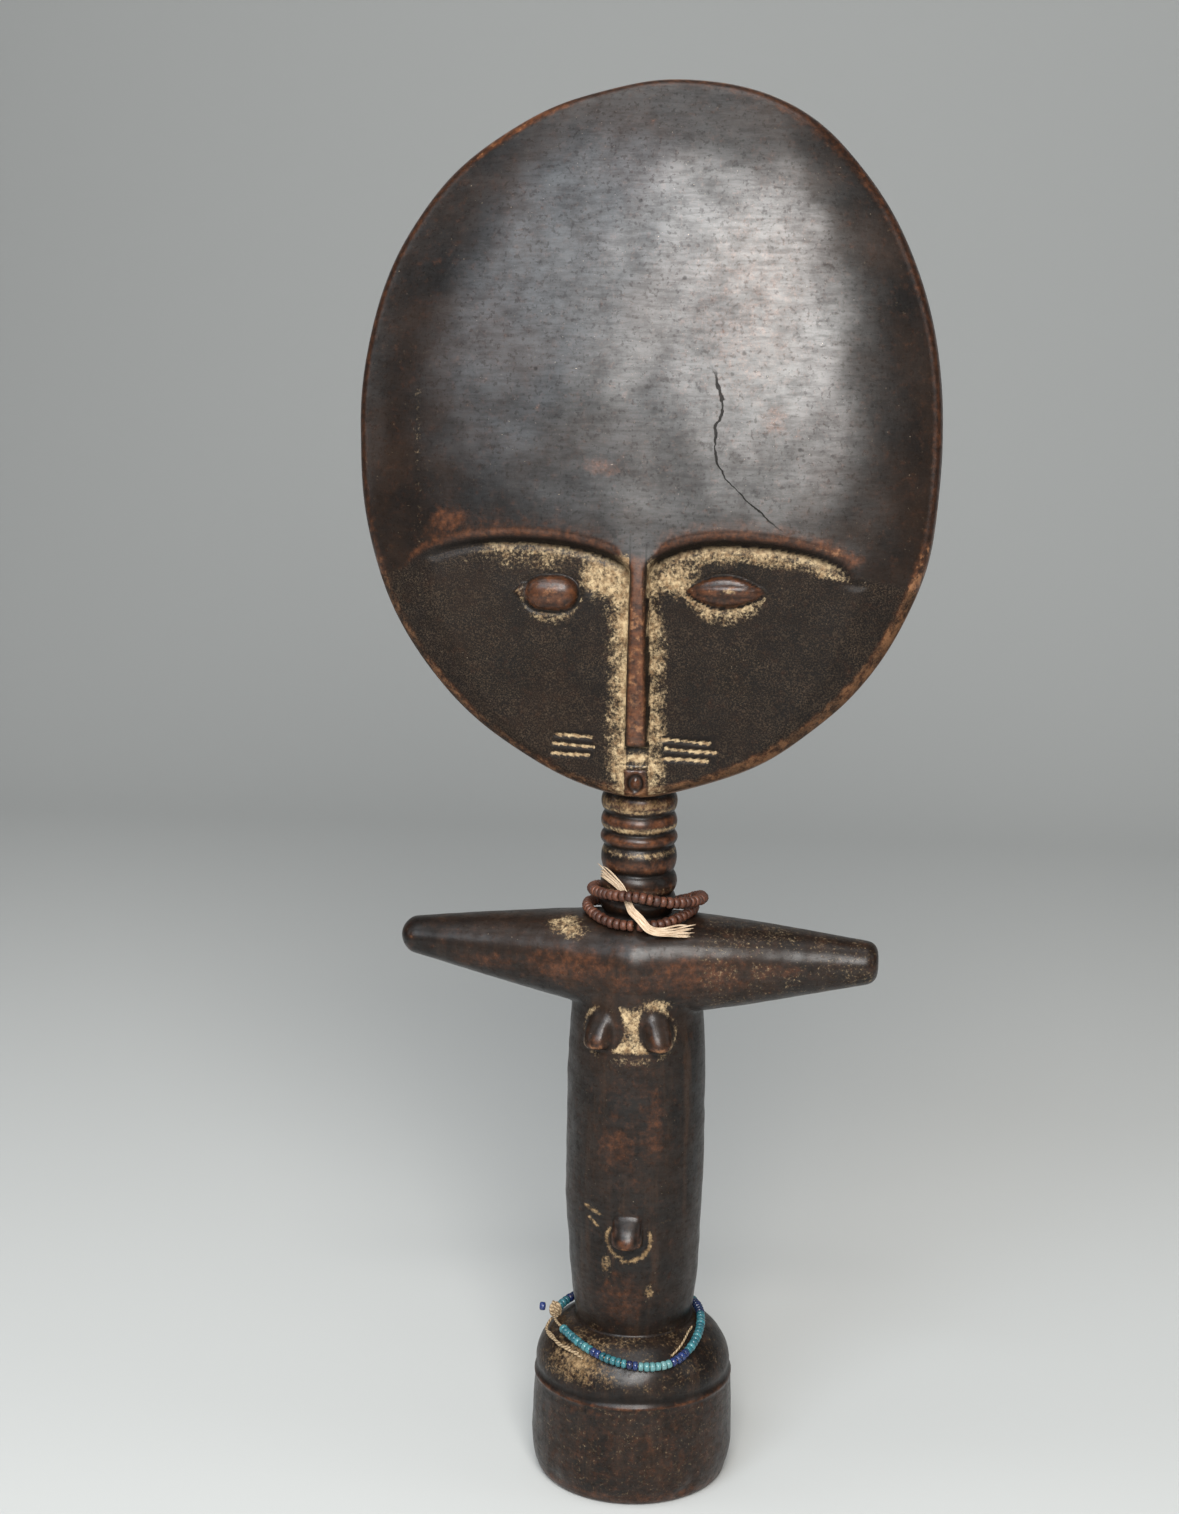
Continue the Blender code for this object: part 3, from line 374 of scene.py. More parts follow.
def body_points():
    """The turned profile carried round the axis on columns that are closest in front. The wall
    wavers, the lower edge is chipped, and the breasts and the navel rise and droop."""
    radius, height = body_profile()
    turns = stations(-math.pi, math.pi, turn_spacing)[:-1] - math.pi / 2
    outward = outward_ways(turns)
    rings = radius[:, None, None] * outward
    rings[..., 2] = height[:, None]
    free = ramp(height / 0.004)[:, None]
    waver = 0.00020 * unevenness(rings, 0.022, 3) + 0.00007 * unevenness(rings, 0.006, 4)
    on_drum = ramp((BASE_TOP - height) / 0.004)[:, None]
    lift = (waver - DRUM_WORN_DEPTH * on_drum) * free
    corner = bell((height[:, None] - 0.003) / 0.004)
    lift -= FOOT_CHIP_DEPTH * corner * ramp(unevenness(rings, 0.011, 5) * 2.2 - 0.9) * free
    side, front = rings[..., 0], rings[..., 1] < 0
    droop = np.zeros_like(lift)
    for middle in BREAST_SIDES:
        up = rings[..., 2] - BREAST_LEVEL + 0.0006
        rise = hanging_knob(side - middle, up, BREAST_WIDTH, BREAST_HEIGHT, BREAST_PEAK) * front
        edge = np.hypot((side - middle) / (BREAST_WIDTH / 2), up / (BREAST_HEIGHT / 2))
        lift += BREAST_PROJECTION * rise - 0.00022 * bell((edge - 1.18) / 0.13) * front
        droop -= BREAST_DROOP * rise**2
    up = rings[..., 2] - NAVEL_LEVEL + 0.0004
    rise = hanging_knob(side, up, NAVEL_WIDTH, NAVEL_WIDTH, NAVEL_PEAK) * front
    lift += NAVEL_PROJECTION * rise
    droop -= NAVEL_DROOP * rise**2
    lift -= NAVEL_RING_DEPTH * navel_ring(side, rings[..., 2]) * front * (rise < 0.01)
    lift -= NAVEL_STROKE_DEPTH * navel_scratches(side, rings[..., 2]) * front
    rings += outward * lift[..., None]
    rings[..., 2] += droop
    return rings


torso_form = new_piece("torso_form", *closed_tube(body_points(), (0, 0, 0), (0, 0, ARM_AXIS + 0.002)))

# Arms
# Two cones cut in one line across the shoulders, with rounded tips. The left one is slimmer and
# rises more, and the right one ends blunt.
ARM_SPAN = 0.1170
ARM_ROOT_HEIGHT = 0.0252
ARM_ROOT_DEPTH = 0.0350
ARM_TIP_DEPTH = 0.0105
ARM_TIP_ROUND = 0.0035
ARM_BEND_LENGTH = 0.0060
LEFT_TIP_HEIGHT, RIGHT_TIP_HEIGHT = 0.0078, 0.0095
LEFT_TAPER, RIGHT_TAPER = 1.25, 1.40
LEFT_RISE, RIGHT_RISE = math.tan(math.radians(4.9)), math.tan(math.radians(2.0))
LEFT_TIP_BLUNTNESS, RIGHT_TIP_BLUNTNESS = 2.0, 3.2
ARM_REACH = ARM_SPAN / 2


def arm_section(along):
    """(half height, half depth, axis height, corner exponent) of the arms at distances along X. The
    section is a rounded box at the shoulders and an oval at the tips."""
    left = along < 0
    share = np.clip(np.hypot(along, 0.003) / ARM_REACH, 0.0, 1.0)
    tip = np.where(left, LEFT_TIP_HEIGHT, RIGHT_TIP_HEIGHT)
    taper = share ** np.where(left, LEFT_TAPER, RIGHT_TAPER)
    half_height = (ARM_ROOT_HEIGHT + (tip - ARM_ROOT_HEIGHT) * taper) / 2
    half_depth = (ARM_ROOT_DEPTH + (ARM_TIP_DEPTH - ARM_ROOT_DEPTH) * share**0.8) / 2
    into_tip = np.clip((np.abs(along) - ARM_REACH + ARM_TIP_ROUND) / ARM_TIP_ROUND, 0.0, 1.0)
    blunt = np.where(left, LEFT_TIP_BLUNTNESS, RIGHT_TIP_BLUNTNESS)
    closing = np.clip(1 - into_tip**blunt, 0.0, None) ** (1 / blunt)
    out = np.hypot(along, ARM_BEND_LENGTH) - ARM_BEND_LENGTH
    axis = ARM_AXIS + out * np.where(left, LEFT_RISE, RIGHT_RISE)
    return half_height * closing, half_depth * closing, axis, 2.0 + 0.6 * (1 - share)


def even_turns(count):
    """Angles evenly round a circle."""
    return np.arange(count) / count * 2 * math.pi


def signed_power(value, power):
    """A cosine or sine to a power, its sign kept, which squares up a round section."""
    return np.sign(value) * np.abs(value) ** power


def arm_points(columns=72):
    """Sections across the arms, closer together over the tips: y and z go round as powers of cosine
    and sine, with shallow knife facets along them."""
    near_tip = ARM_REACH - ARM_TIP_ROUND
    tip = near_tip + ARM_TIP_ROUND * np.sin(np.linspace(0.15, 1.53, 12))
    right = np.concatenate([np.linspace(0.0, near_tip, 62), tip])
    along = np.concatenate([-right[:0:-1], right])
    half_height, half_depth, axis, corner = (value[:, None] for value in arm_section(along))
    c, s = np.cos(even_turns(columns)), np.sin(even_turns(columns))
    rings = np.empty((len(along), columns, 3))
    rings[..., 0] = along[:, None]
    rings[..., 1] = half_depth * signed_power(c, 2 / corner)
    rings[..., 2] = axis + half_height * signed_power(s, 2 / corner)
    facets = unevenness(rings * (0.45, 1.0, 1.0), 0.015, 6)
    rough = 0.00024 * facets + 0.00006 * unevenness(rings, 0.005, 7)
    fade = (half_height / (ARM_ROOT_HEIGHT / 2)) ** 0.5
    rings[..., 1] += rough * c * fade
    rings[..., 2] += rough * s * fade
    return rings


arm_ends = [(end, 0.0, float(arm_section(np.array(end))[2])) for end in (-ARM_REACH, ARM_REACH)]
arm_form = new_piece("arm_form", *closed_tube(arm_points(), *arm_ends))

# Neck
# A column of rings, each cut as a rounded band between two narrow grooves, no two alike. Its top
# runs up behind the chin and is rounded off on the back of the head.
NECK_LENGTH = 0.0304
NECK_BEHIND_CHIN = 0.0090
NECK_RADIUS = 0.0093
NECK_GROOVE_DEPTH = 0.0014
NECK_ROOT_DEPTH = 0.005
NECK_CAP_SHARE = 0.8
NECK_GROOVES = (0.0, 0.0049, 0.0102, 0.0169, 0.0204, 0.0250, 0.0302, 0.0352, 0.0394)
SHOULDER_TOP = ARM_AXIS + ARM_ROOT_HEIGHT / 2
CHIN_HEIGHT = SHOULDER_TOP + NECK_LENGTH
NECK_TOP = CHIN_HEIGHT + NECK_BEHIND_CHIN


def neck_phase(points):
    """Which ring a point is on, counted from the lowest, with the share of the way up it as the
    fraction. The grooves wander up and down round the neck."""
    wander = 0.0006 * unevenness(points * (1.0, 1.0, 0.3), 0.015, 8)
    return np.interp(points[..., 2] + wander - SHOULDER_TOP, NECK_GROOVES, np.arange(len(NECK_GROOVES)))


def neck_points(columns=76):
    """A radius that swells and sinks once in each ring: the square root of a sine leaves narrow
    grooves between full rings."""
    groove = NECK_RADIUS - NECK_GROOVE_DEPTH
    body = np.linspace(SHOULDER_TOP - NECK_ROOT_DEPTH, NECK_TOP, 128)
    cap = np.linspace(0.06, 1.5, 12)
    outward = outward_ways(even_turns(columns))
    shape = np.concatenate([np.ones(len(body)), np.cos(cap)])[:, None]
    rings = np.repeat(groove * outward[None], len(shape), axis=0)
    rings[..., 2] = np.concatenate([body, NECK_TOP + groove * NECK_CAP_SHARE * np.sin(cap)])[:, None]
    phase = neck_phase(rings)
    swell = np.abs(np.sin(phase * math.pi)) ** 0.50
    size = 0.96 + 0.05 * np.sin(np.floor(phase) * 2.4) + 0.05 * unevenness(rings, 0.007, 9)
    radius = (groove + NECK_GROOVE_DEPTH * swell * size) * shape
    rings[..., :2] = radius[..., None] * outward[:, :2]
    return rings


neck_foot_point = (0.0, 0.0, SHOULDER_TOP - NECK_ROOT_DEPTH)
neck_top_point = (0.0, 0.0, NECK_TOP + (NECK_RADIUS - NECK_GROOVE_DEPTH) * NECK_CAP_SHARE)
neck_form = new_piece("neck_form", *closed_tube(neck_points(), neck_foot_point, neck_top_point))

# Head
# An egg-shaped disc, domed in front and behind and tilted back. The cheeks are cut back flat below
# two arched brows, which leaves the nose and the mouth standing, and the eyes swell from the cheeks.
HEAD_HALF_WIDTH = 0.0688
HEAD_CROWN_LENGTH = 0.0808
HEAD_CHIN_LENGTH = 0.0870
HEAD_RIM_THICKNESS = 0.0056
HEAD_FRONT_DOME = 0.0100
HEAD_BACK_DOME = 0.0060
FRONT_FULLNESS, BACK_FULLNESS = 3.4, 2.6
RIM_START, RIM_ROUND = 0.962, 0.038
FACE_COLUMN_SPACING, FACE_ROW_SPACING = 0.0069, 0.0060
HEAD_TILT = math.radians(8.0)
HEAD_FORWARD = 0.0125
HEAD_SIDE_SHIFT = 0.0007
CROWN_LEAN = 0.0065
JAW_LEAN = 0.0020
BROW_LEVEL = 0.0601 - HEAD_CHIN_LENGTH
BROW_ARCH = 0.0076
BROW_SHAPES = {1: (0.0209, 0.0492), -1: (0.0291, 0.0550)}
BROW_CUT_DEPTH = 0.0040
CHIN_CUT_DEPTH = 0.0009
NOSE_TOP_WIDTH = 0.0037
NOSE_TIP_WIDTH = 0.0049
NOSE_TIP_LEVEL = 0.0123 - HEAD_CHIN_LENGTH
MOUTH_WIDTH = 0.0056
MOUTH_TOP_LEVEL = 0.0068 - HEAD_CHIN_LENGTH
MOUTH_LEVEL = 0.0036 - HEAD_CHIN_LENGTH
MOUTH_SIDE = -0.0002
MOUTH_RADIUS, LIP_RADIUS = 0.0020, 0.0026
MOUTH_DEPTH, MOUTH_MOUND, LIP_DEPTH = 0.0016, 0.0008, 0.00035
EYE_BULGE = 0.0027
EYE_FACET_RISE, EYE_SLIT_DEPTH = 0.0011, 0.00050
LEFT_EYE_GROOVE, RIGHT_EYE_GROOVE = 0.00035, 0.00040
LEFT_EYE = {"side": -0.0206, "level": -0.0394, "length": 0.0122, "opening": 0.0081}
LEFT_EYE_FACET_END = -0.0297
RIGHT_EYE = {"side": 0.0200, "level": -0.0383, "length": 0.0185, "opening": 0.0072}
SCAR_PITCH = 0.00215
SCAR_DEPTH = 0.0005
SCARS = {
    -1: (-0.0724, ((-0.0195, -0.0104), (-0.0200, -0.0098), (-0.0203, -0.0110))),
    1: (-0.0729, ((0.0056, 0.0173), (0.0063, 0.0190), (0.0063, 0.0170))),
}


def head_outline(turn):
    """(side, level) of the disc's outline. The half width at a level v of the crown or chin length
    is (1 - v^a)^b, and the middle line leans to +X at the crown and the jaw."""
    up = np.sin(turn)
    v = np.abs(up)
    crown = up >= 0
    half = np.where(crown, np.clip(1 - v**2.08, 0, 1) ** 0.475, np.clip(1 - v**2.45, 0, 1) ** 0.622)
    lean = np.where(crown, CROWN_LEAN * v**5, JAW_LEAN * v * (1 - v**12))
    length = np.where(crown, HEAD_CROWN_LENGTH, HEAD_CHIN_LENGTH)
    return np.sign(np.cos(turn)) * HEAD_HALF_WIDTH * half + lean, up * length


def brow_edge(sign, side):
    """Level of a brow's lower edge at a distance from the middle line: two elliptic arcs that meet
    at the brow's peak."""
    peak, end = BROW_SHAPES[sign]
    half = np.where(side < peak, peak - NOSE_TOP_WIDTH / 2, end - peak)
    away = np.clip(np.abs(side - peak) / half, 0.0, 1.0)
    return BROW_LEVEL - BROW_ARCH + BROW_ARCH * (1 - away**2) ** 0.55


def cheek_corners(sign):
    """The cut cheek's outline: along the brow's arc, out past the jaw, and back beside the mouth
    and the nose."""
    end = BROW_SHAPES[sign][1]
    turns = np.linspace(0.0, math.pi, 40)
    side = NOSE_TOP_WIDTH / 2 + (end - NOSE_TOP_WIDTH / 2) * (1 - np.cos(turns)) / 2
    beyond, below = HEAD_HALF_WIDTH * 1.2, -HEAD_CHIN_LENGTH * 1.15
    low = BROW_LEVEL - 2 * BROW_ARCH
    rest = ((beyond, low), (beyond, below), (MOUTH_WIDTH / 2, below), (MOUTH_WIDTH / 2, MOUTH_TOP_LEVEL))
    corners = np.concatenate([
        np.stack([side, brow_edge(sign, side)], axis=-1), rest, [(NOSE_TIP_WIDTH / 2, NOSE_TIP_LEVEL)]
    ])
    return corners * (sign, 1)


def outline_distance(side, level, corners):
    """Distance to a closed outline, positive inside: the nearest of its edges, with the sign from
    how many of them a ray to +X crosses."""
    x, y = side.reshape(-1, 1), level.reshape(-1, 1)
    start, stop = corners, np.roll(corners, -1, axis=0)
    edge = stop - start
    along = (x - start[:, 0]) * edge[:, 0] + (y - start[:, 1]) * edge[:, 1]
    share = np.clip(along / (edge**2).sum(axis=1), 0.0, 1.0)
    gap = np.hypot(x - start[:, 0] - share * edge[:, 0], y - start[:, 1] - share * edge[:, 1])
    spans = (start[:, 1] > y) != (stop[:, 1] > y)
    rise = np.where(edge[:, 1] == 0, 1.0, edge[:, 1])
    crossing = start[:, 0] + (y - start[:, 1]) / rise * edge[:, 0] > x
    inside = (spans & crossing).sum(axis=1) % 2 == 1
    return (np.where(inside, 1.0, -1.0) * gap.min(axis=1)).reshape(side.shape)


def eye_reach(eye, side, level):
    """(share along the eye, share up, 0 at its middle and 1 on its outline). The left eye is a
    rounded box, and the right one is an almond with two pointed ends."""
    along = (side - eye["side"]) / (eye["length"] / 2)
    up = (level - eye["level"]) / (eye["opening"] / 2)
    if eye is LEFT_EYE:
        return along, up, (np.abs(along) ** 2.8 + np.abs(up) ** 2.3) ** (1 / 2.5)
    lid = np.clip(1 - along**2, 0.0, 1.0)
    return along, up, np.maximum(np.abs(up) / np.maximum(lid, 0.02), np.abs(along))


def eye_facet(side, level):
    """1 in the small three-sided cut at the left eye's outer end."""
    inner = LEFT_EYE["side"] - LEFT_EYE["length"] / 2 + 0.0002
    share = (inner - side) / (inner - LEFT_EYE_FACET_END)
    inside = (1 - share) * 0.0026 - np.abs(level - LEFT_EYE["level"] - 0.0002)
    return ramp(inside / 0.0005) * ramp(share / 0.15)


def lid_place(along, up):
    """How far up a point is in the right eye's almond, as a share of the almond's height there."""
    return up / np.maximum(1 - along**2, 0.05)


def lid_slits(along, up):
    """1 along the two curved slits that part the right eye's lids from its ball."""
    place = lid_place(along, up)
    slits = bell((place - 0.50) / 0.13) + bell((place + 0.42) / 0.13)
    return slits * ramp((0.82 - np.abs(along)) / 0.15)


def eye_rise(eye, side, level):
    """Height of an eyeball over the cheek, with a groove round it. The right one has two curved
    slits, which leave its lids and a small almond between them standing."""
    along, up, reach = eye_reach(eye, side, level)
    ball = np.sqrt(np.clip(1 - reach**2.2, 0.0, 1.0))
    if eye is LEFT_EYE:
        groove = LEFT_EYE_GROOVE * bell((reach - 1.10) / 0.08)
        return EYE_BULGE * ball - groove + EYE_FACET_RISE * eye_facet(side, level)
    lid = np.clip(1 - along**2, 0.0, 1.0)
    groove = RIGHT_EYE_GROOVE * bell((reach - 1.14) / 0.10) * ramp(lid * 6)
    return EYE_BULGE * ball * lid**0.2 - groove - EYE_SLIT_DEPTH * lid_slits(along, up)


def cheek_floor(level):
    """Height of the flat floor that the cheeks are cut back to. It falls from brow to chin."""
    brow = HEAD_RIM_THICKNESS / 2 + HEAD_FRONT_DOME * (1 - 0.32**FRONT_FULLNESS) - BROW_CUT_DEPTH
    chin = HEAD_RIM_THICKNESS / 2 + HEAD_FRONT_DOME * (1 - 0.97**FRONT_FULLNESS) - CHIN_CUT_DEPTH
    return brow + (chin - brow) * (BROW_LEVEL - level) / (BROW_LEVEL + HEAD_CHIN_LENGTH)


def scar_cut(side, level):
    """1 along each of the three strokes cut on both cheeks beside the nose's tip."""
    cut = np.zeros_like(side)
    for first, strokes in SCARS.values():
        for count, (start, stop) in enumerate(strokes):
            tilt = 0.05 * (side - start) + 0.00008 * np.sin(side * 500 + count * 2)
            across = (level - first + SCAR_PITCH * count + tilt) / 0.00044
            along = ramp((side - start + 0.0006) / 0.0012) * ramp((stop + 0.0006 - side) / 0.0012)
            cut = np.maximum(cut, bell(across) * along)
    return cut


def on_disc(side, level):
    """Points of the head's own flat middle plane."""
    return np.stack([side, 0 * side, level], axis=-1)


def rim_round(share):
    """1 over the disc, falling to 0 in a quarter circle on the last of the way out to its rim."""
    return np.sqrt(np.clip(1 - np.clip((share - RIM_START) / RIM_ROUND, 0, 1) ** 2, 0, 1))


def mouth_reach(side, level, up=0.0, squash=0.88, radius=MOUTH_RADIUS):
    """Distance from the mouth's hole or from a place above it, 1 on an oval of that radius."""
    return np.hypot(side - MOUTH_SIDE, (level - MOUTH_LEVEL - up) * squash) / radius


def front_height(side, level, share):
    """Height of the head's front over the middle of its rim, from a point's place on the disc and
    its share of the way out to the rim. The brow rolls over in a quarter circle before the cut."""
    place = on_disc(side, level)
    waver = 0.00022 * unevenness(place, 0.030, 11) + 0.00006 * unevenness(place, 0.010, 12)
    height = HEAD_RIM_THICKNESS / 2 * rim_round(share) + HEAD_FRONT_DOME * (1 - share**FRONT_FULLNESS)
    height += ramp((1 - share) / 0.12) * waver
    floor = cheek_floor(level) + 0.00010 * unevenness(place, 0.012, 13)
    for sign in (-1, 1):
        inside = outline_distance(side, level, cheek_corners(sign))
        roll = np.clip((inside + 0.0026) / 0.0032, 0.0, 1.0)
        wall = np.clip((inside + 0.0008) / 0.0012, 0.0, 1.0)
        at_brow = ramp((np.abs(side) - 0.004) / 0.003)
        cut = (1 - np.sqrt(1 - roll**2)) * at_brow + (1 - np.sqrt(1 - wall**2)) * (1 - at_brow)
        under = 0.0005 * bell((inside - 0.0012) / 0.0009) * ramp((level + HEAD_CHIN_LENGTH) / 0.02)
        height = height - np.clip(height - floor + under, 0.0, None) * cut
    below_nose = ramp((NOSE_TIP_LEVEL + 0.0003 - level) / 0.0006)
    above_mouth = ramp((level - MOUTH_TOP_LEVEL + 0.0001) / 0.0006)
    gap = below_nose * above_mouth * ramp((0.0040 - np.abs(side)) / 0.0006)
    height -= gap * np.clip(height - floor + 0.0003, 0.0, None)
    mouth = mouth_reach(side, level)
    height -= MOUTH_DEPTH * ramp((1.15 - mouth) / 0.4) - MOUTH_MOUND * bell(mouth / 0.42)
    lip = mouth_reach(side, level, 0.0004, 0.9, LIP_RADIUS)
    height -= LIP_DEPTH * bell((lip - 1.0) / 0.09) * (level > MOUTH_LEVEL)
    for eye in (LEFT_EYE, RIGHT_EYE):
        height += eye_rise(eye, side, level)
    return height - SCAR_DEPTH * scar_cut(side, level)


def head_to_world(side, front, level):
    """Points of the head's own frame, tilted back and set over the neck."""
    c, s = math.cos(HEAD_TILT), math.sin(HEAD_TILT)
    x = side + HEAD_SIDE_SHIFT
    y = -front * c + level * s - HEAD_FORWARD + HEAD_CHIN_LENGTH * s
    z = front * s + level * c + CHIN_HEIGHT + HEAD_CHIN_LENGTH * c
    return np.stack([x, y, z], axis=-1)


def world_to_head(points):
    """The reverse: (side, front, level) of points of the row frame."""
    c, s = math.cos(HEAD_TILT), math.sin(HEAD_TILT)
    y = points[..., 1] + HEAD_FORWARD - HEAD_CHIN_LENGTH * s
    z = points[..., 2] - CHIN_HEIGHT - HEAD_CHIN_LENGTH * c
    return points[..., 0] - HEAD_SIDE_SHIFT, -y * c + z * s, y * s + z * c


def column_spacing(s):
    """Gap between the disc's columns at a share of the way across: wider beside the face and
    smallest at the rim."""
    beside = 0.011 * ramp((np.abs(s) - 0.48) / 0.1)
    return np.clip(FACE_COLUMN_SPACING + beside - 0.012 * ramp((np.abs(s) - 0.93) / 0.05), 0.004, 1)


def row_spacing(t):
    """Gap between the disc's rows at a share of the way up, wider above the brow."""
    above = 0.011 * ramp((t + 0.28) / 0.15)
    return np.clip(FACE_ROW_SPACING + above - 0.009 * ramp((t - 0.93) / 0.05), 0.004, 1)


def head_places():
    """(side, level, share) on a grid over the disc. A square is pressed into a circle by
    a = s sqrt(1 - t^2/2), b = t sqrt(1 - s^2/2), and each point goes its share of the way out to
    the outline. Rows and columns are closest over the face and at the rim."""
    s, t = np.meshgrid(stations(-1, 1, column_spacing), stations(-1, 1, row_spacing))
    a, b = s * np.sqrt(1 - t**2 / 2), t * np.sqrt(1 - s**2 / 2)
    share = np.clip(np.hypot(a, b), 0.0, 1.0)
    side, level = head_outline(np.arctan2(b, a))
    waver = 1 - 0.0022 * (1 + unevenness(on_disc(side, level), 0.018, 16))
    return side * share * waver, level * share * waver, share


def back_faces(fine, coarse):
    """Faces of the back, on every second row and column of the front's grid. At the rim each cell
    also takes in the front's point between its corners, so that the two sides share one edge."""
    inner = coarse[1:-1, 1:-1]
    cells = np.stack([inner[:-1, :-1], inner[1:, :-1], inner[1:, 1:], inner[:-1, 1:]], axis=-1)
    faces = cells.reshape(-1, 4).tolist()
    sides = (
        (fine[0], coarse[1, 1:-1]),
        (fine[:, -1], coarse[1:-1, -2]),
        (fine[-1, ::-1], coarse[-2, -2:0:-1]),
        (fine[::-1, 0], coarse[-2:0:-1, 1]),
    )
    for rim, ring in sides:
        low, between, high = rim[2:-4:2], rim[3:-3:2], rim[4:-2:2]
        faces += np.stack([high, between, low, ring[:-1], ring[1:]], axis=-1).tolist()
        faces += [[*rim[2::-1].tolist(), int(ring[0])], [*rim[:-4:-1].tolist(), int(ring[-1])]]
    return faces


def head_mesh():
    """The whole disc: the front on the fine grid, and the back on every second row and column."""
    side, level, share = head_places()
    front = head_to_world(side, front_height(side, level, share), level)
    rows, columns = side.shape
    fine = np.arange(rows * columns).reshape(rows, columns)
    s, l, k = side[::2, ::2], level[::2, ::2], share[::2, ::2]
    place = on_disc(s, l)
    rough = 0.00030 * unevenness(place, 0.024, 14) + 0.00012 * unevenness(place, 0.009, 15)
    behind = HEAD_RIM_THICKNESS / 2 * rim_round(k) + HEAD_BACK_DOME * (1 - k**BACK_FULLNESS)
    behind += rough * ramp((1 - k) / 0.1)
    back = head_to_world(s, -behind, l)
    coarse = fine[::2, ::2].copy()
    inner = (coarse.shape[0] - 2, coarse.shape[1] - 2)
    coarse[1:-1, 1:-1] = rows * columns + np.arange(inner[0] * inner[1]).reshape(inner)
    points = np.concatenate([front.reshape(-1, 3), back[1:-1, 1:-1].reshape(-1, 3)])
    return points, grid_faces(rows, columns, False).tolist() + back_faces(fine, coarse)


head_form = new_piece("head_form", *head_mesh())

# Carved figure
# Torso, arms, neck and head are one piece of wood: they are joined into one mesh here, the inner
# corners between them are softened as a knife leaves them, and the wear and pigment are marked,
# with shade painted into the grooves and undercuts.
BROW_PIGMENT = {1: (0.0034, 0.72, 0.44), -1: (0.0050, 0.58, 0.26)}
EYE_PIGMENT = {1: (1.05, 0.0034, 0.66, 0.36), -1: (1.45, 0.0029, 0.46, 0.26)}
NOSE_PIGMENT = {1: 0.60, -1: 0.74}
NECK_PIGMENT = (
    (0.1724, 0.0020, 0.52), (0.1710, 0.0006, 0.66), (0.1663, 0.0008, 0.70), (0.1770, 0.0020, 0.45),
    (0.1604, 0.0009, 0.50), (0.1505, 0.0015, 0.30),
)
NECK_RUST = (
    (0.1680, 0.0010, 0.95), (0.1635, 0.0010, 0.9), (0.1572, 0.0014, 0.8), (0.1725, 0.0016, 0.7),
    (0.1518, 0.0016, 0.45),
)
BODY_RUST = (
    ((-0.0031, 0.0891), (0.0055, 0.0065), 0.50), ((0.0062, 0.0950), (0.0026, 0.0120), 0.46),
    ((-0.0015, 0.0500), (0.0070, 0.0075), 0.44), ((0.0, 0.0664), (0.0028, 0.0016), 0.9),
    ((-0.0140, 0.1335), (0.0150, 0.0055), 0.52), ((0.0150, 0.1325), (0.0160, 0.0055), 0.55),
    ((0.0, 0.1310), (0.0100, 0.0040), 0.42), ((0.0005, 0.0960), (0.0080, 0.0340), 0.16),
    ((0.0330, 0.1330), (0.0100, 0.0025), 0.4), ((-0.0360, 0.1330), (0.0100, 0.0025), 0.4),
)
NAVEL_SPOTS = (((-0.0051, 0.0590), (0.0018, 0.0034)), ((0.0053, 0.0521), (0.0014, 0.0026)))
HEAD_RUST = (
    ((-0.0094, -0.0103), (0.0050, 0.0020), 0.55), ((0.0303, 0.0010), (0.0040, 0.0040), 0.50),
    ((-0.0447, -0.0229), (0.0050, 0.0030), 0.75), ((0.0415, -0.0270), (0.0030, 0.0020), 0.90),
    ((0.0484, -0.0303), (0.0030, 0.0020), 0.90), ((0.0240, 0.0250), (0.0150, 0.0250), 0.33),
)
CREASE_LEVELS, CREASE_SIDES = (-0.0511, -0.0219, 0.0072), (-0.0518, -0.0524, -0.0530)
# The dark mark is painted shade in grooves and undercuts and under the brows, nose and chin, and it also
# darkens the wood between the scar strokes.
WOOD_MARKS = ("pigment", "ochre", "wear", "rust", "dark", "polish", "cheek", "grain")


def join_forms(target, others):
    """One closed mesh from overlapping closed ones. The helper objects are removed."""
    for other in others:
        union = target.modifiers.new("union", "BOOLEAN")
        union.operation = "UNION"
        union.solver = "MANIFOLD"
        union.object = other
    graph = bpy.context.evaluated_depsgraph_get()
    joined = bpy.data.meshes.new_from_object(target.evaluated_get(graph))
    joined.name = "carved_figure"
    piece = bpy.data.objects.new("carved_figure", joined)
    bpy.context.scene.collection.objects.link(piece)
    for helper in (target, *others):
        bpy.data.objects.remove(helper, do_unlink=True)
    return piece


def mesh_arrays(mesh):
    """(points, edges, vertex normals) of a mesh as arrays."""
    points = np.empty(len(mesh.vertices) * 3, np.float32)
    mesh.vertices.foreach_get("co", points)
    edges = np.empty(len(mesh.edges) * 2, np.int32)
    mesh.edges.foreach_get("vertices", edges)
    normals = np.empty(len(mesh.vertices) * 3, np.float32)
    mesh.vertex_normals.foreach_get("vector", normals)
    return points.reshape(-1, 3).astype(float), edges.reshape(-1, 2), normals.reshape(-1, 3).astype(float)


def neighbour_mean(values, edges):
    """Mean of each point's neighbours along the edges."""
    total = np.zeros_like(values)
    count = np.zeros(len(values))
    for here, there in ((edges[:, 0], edges[:, 1]), (edges[:, 1], edges[:, 0])):
        np.add.at(total, here, values[there])
        np.add.at(count, here, 1)
    return total / np.maximum(count, 1).reshape(-1, *([1] * (values.ndim - 1)))


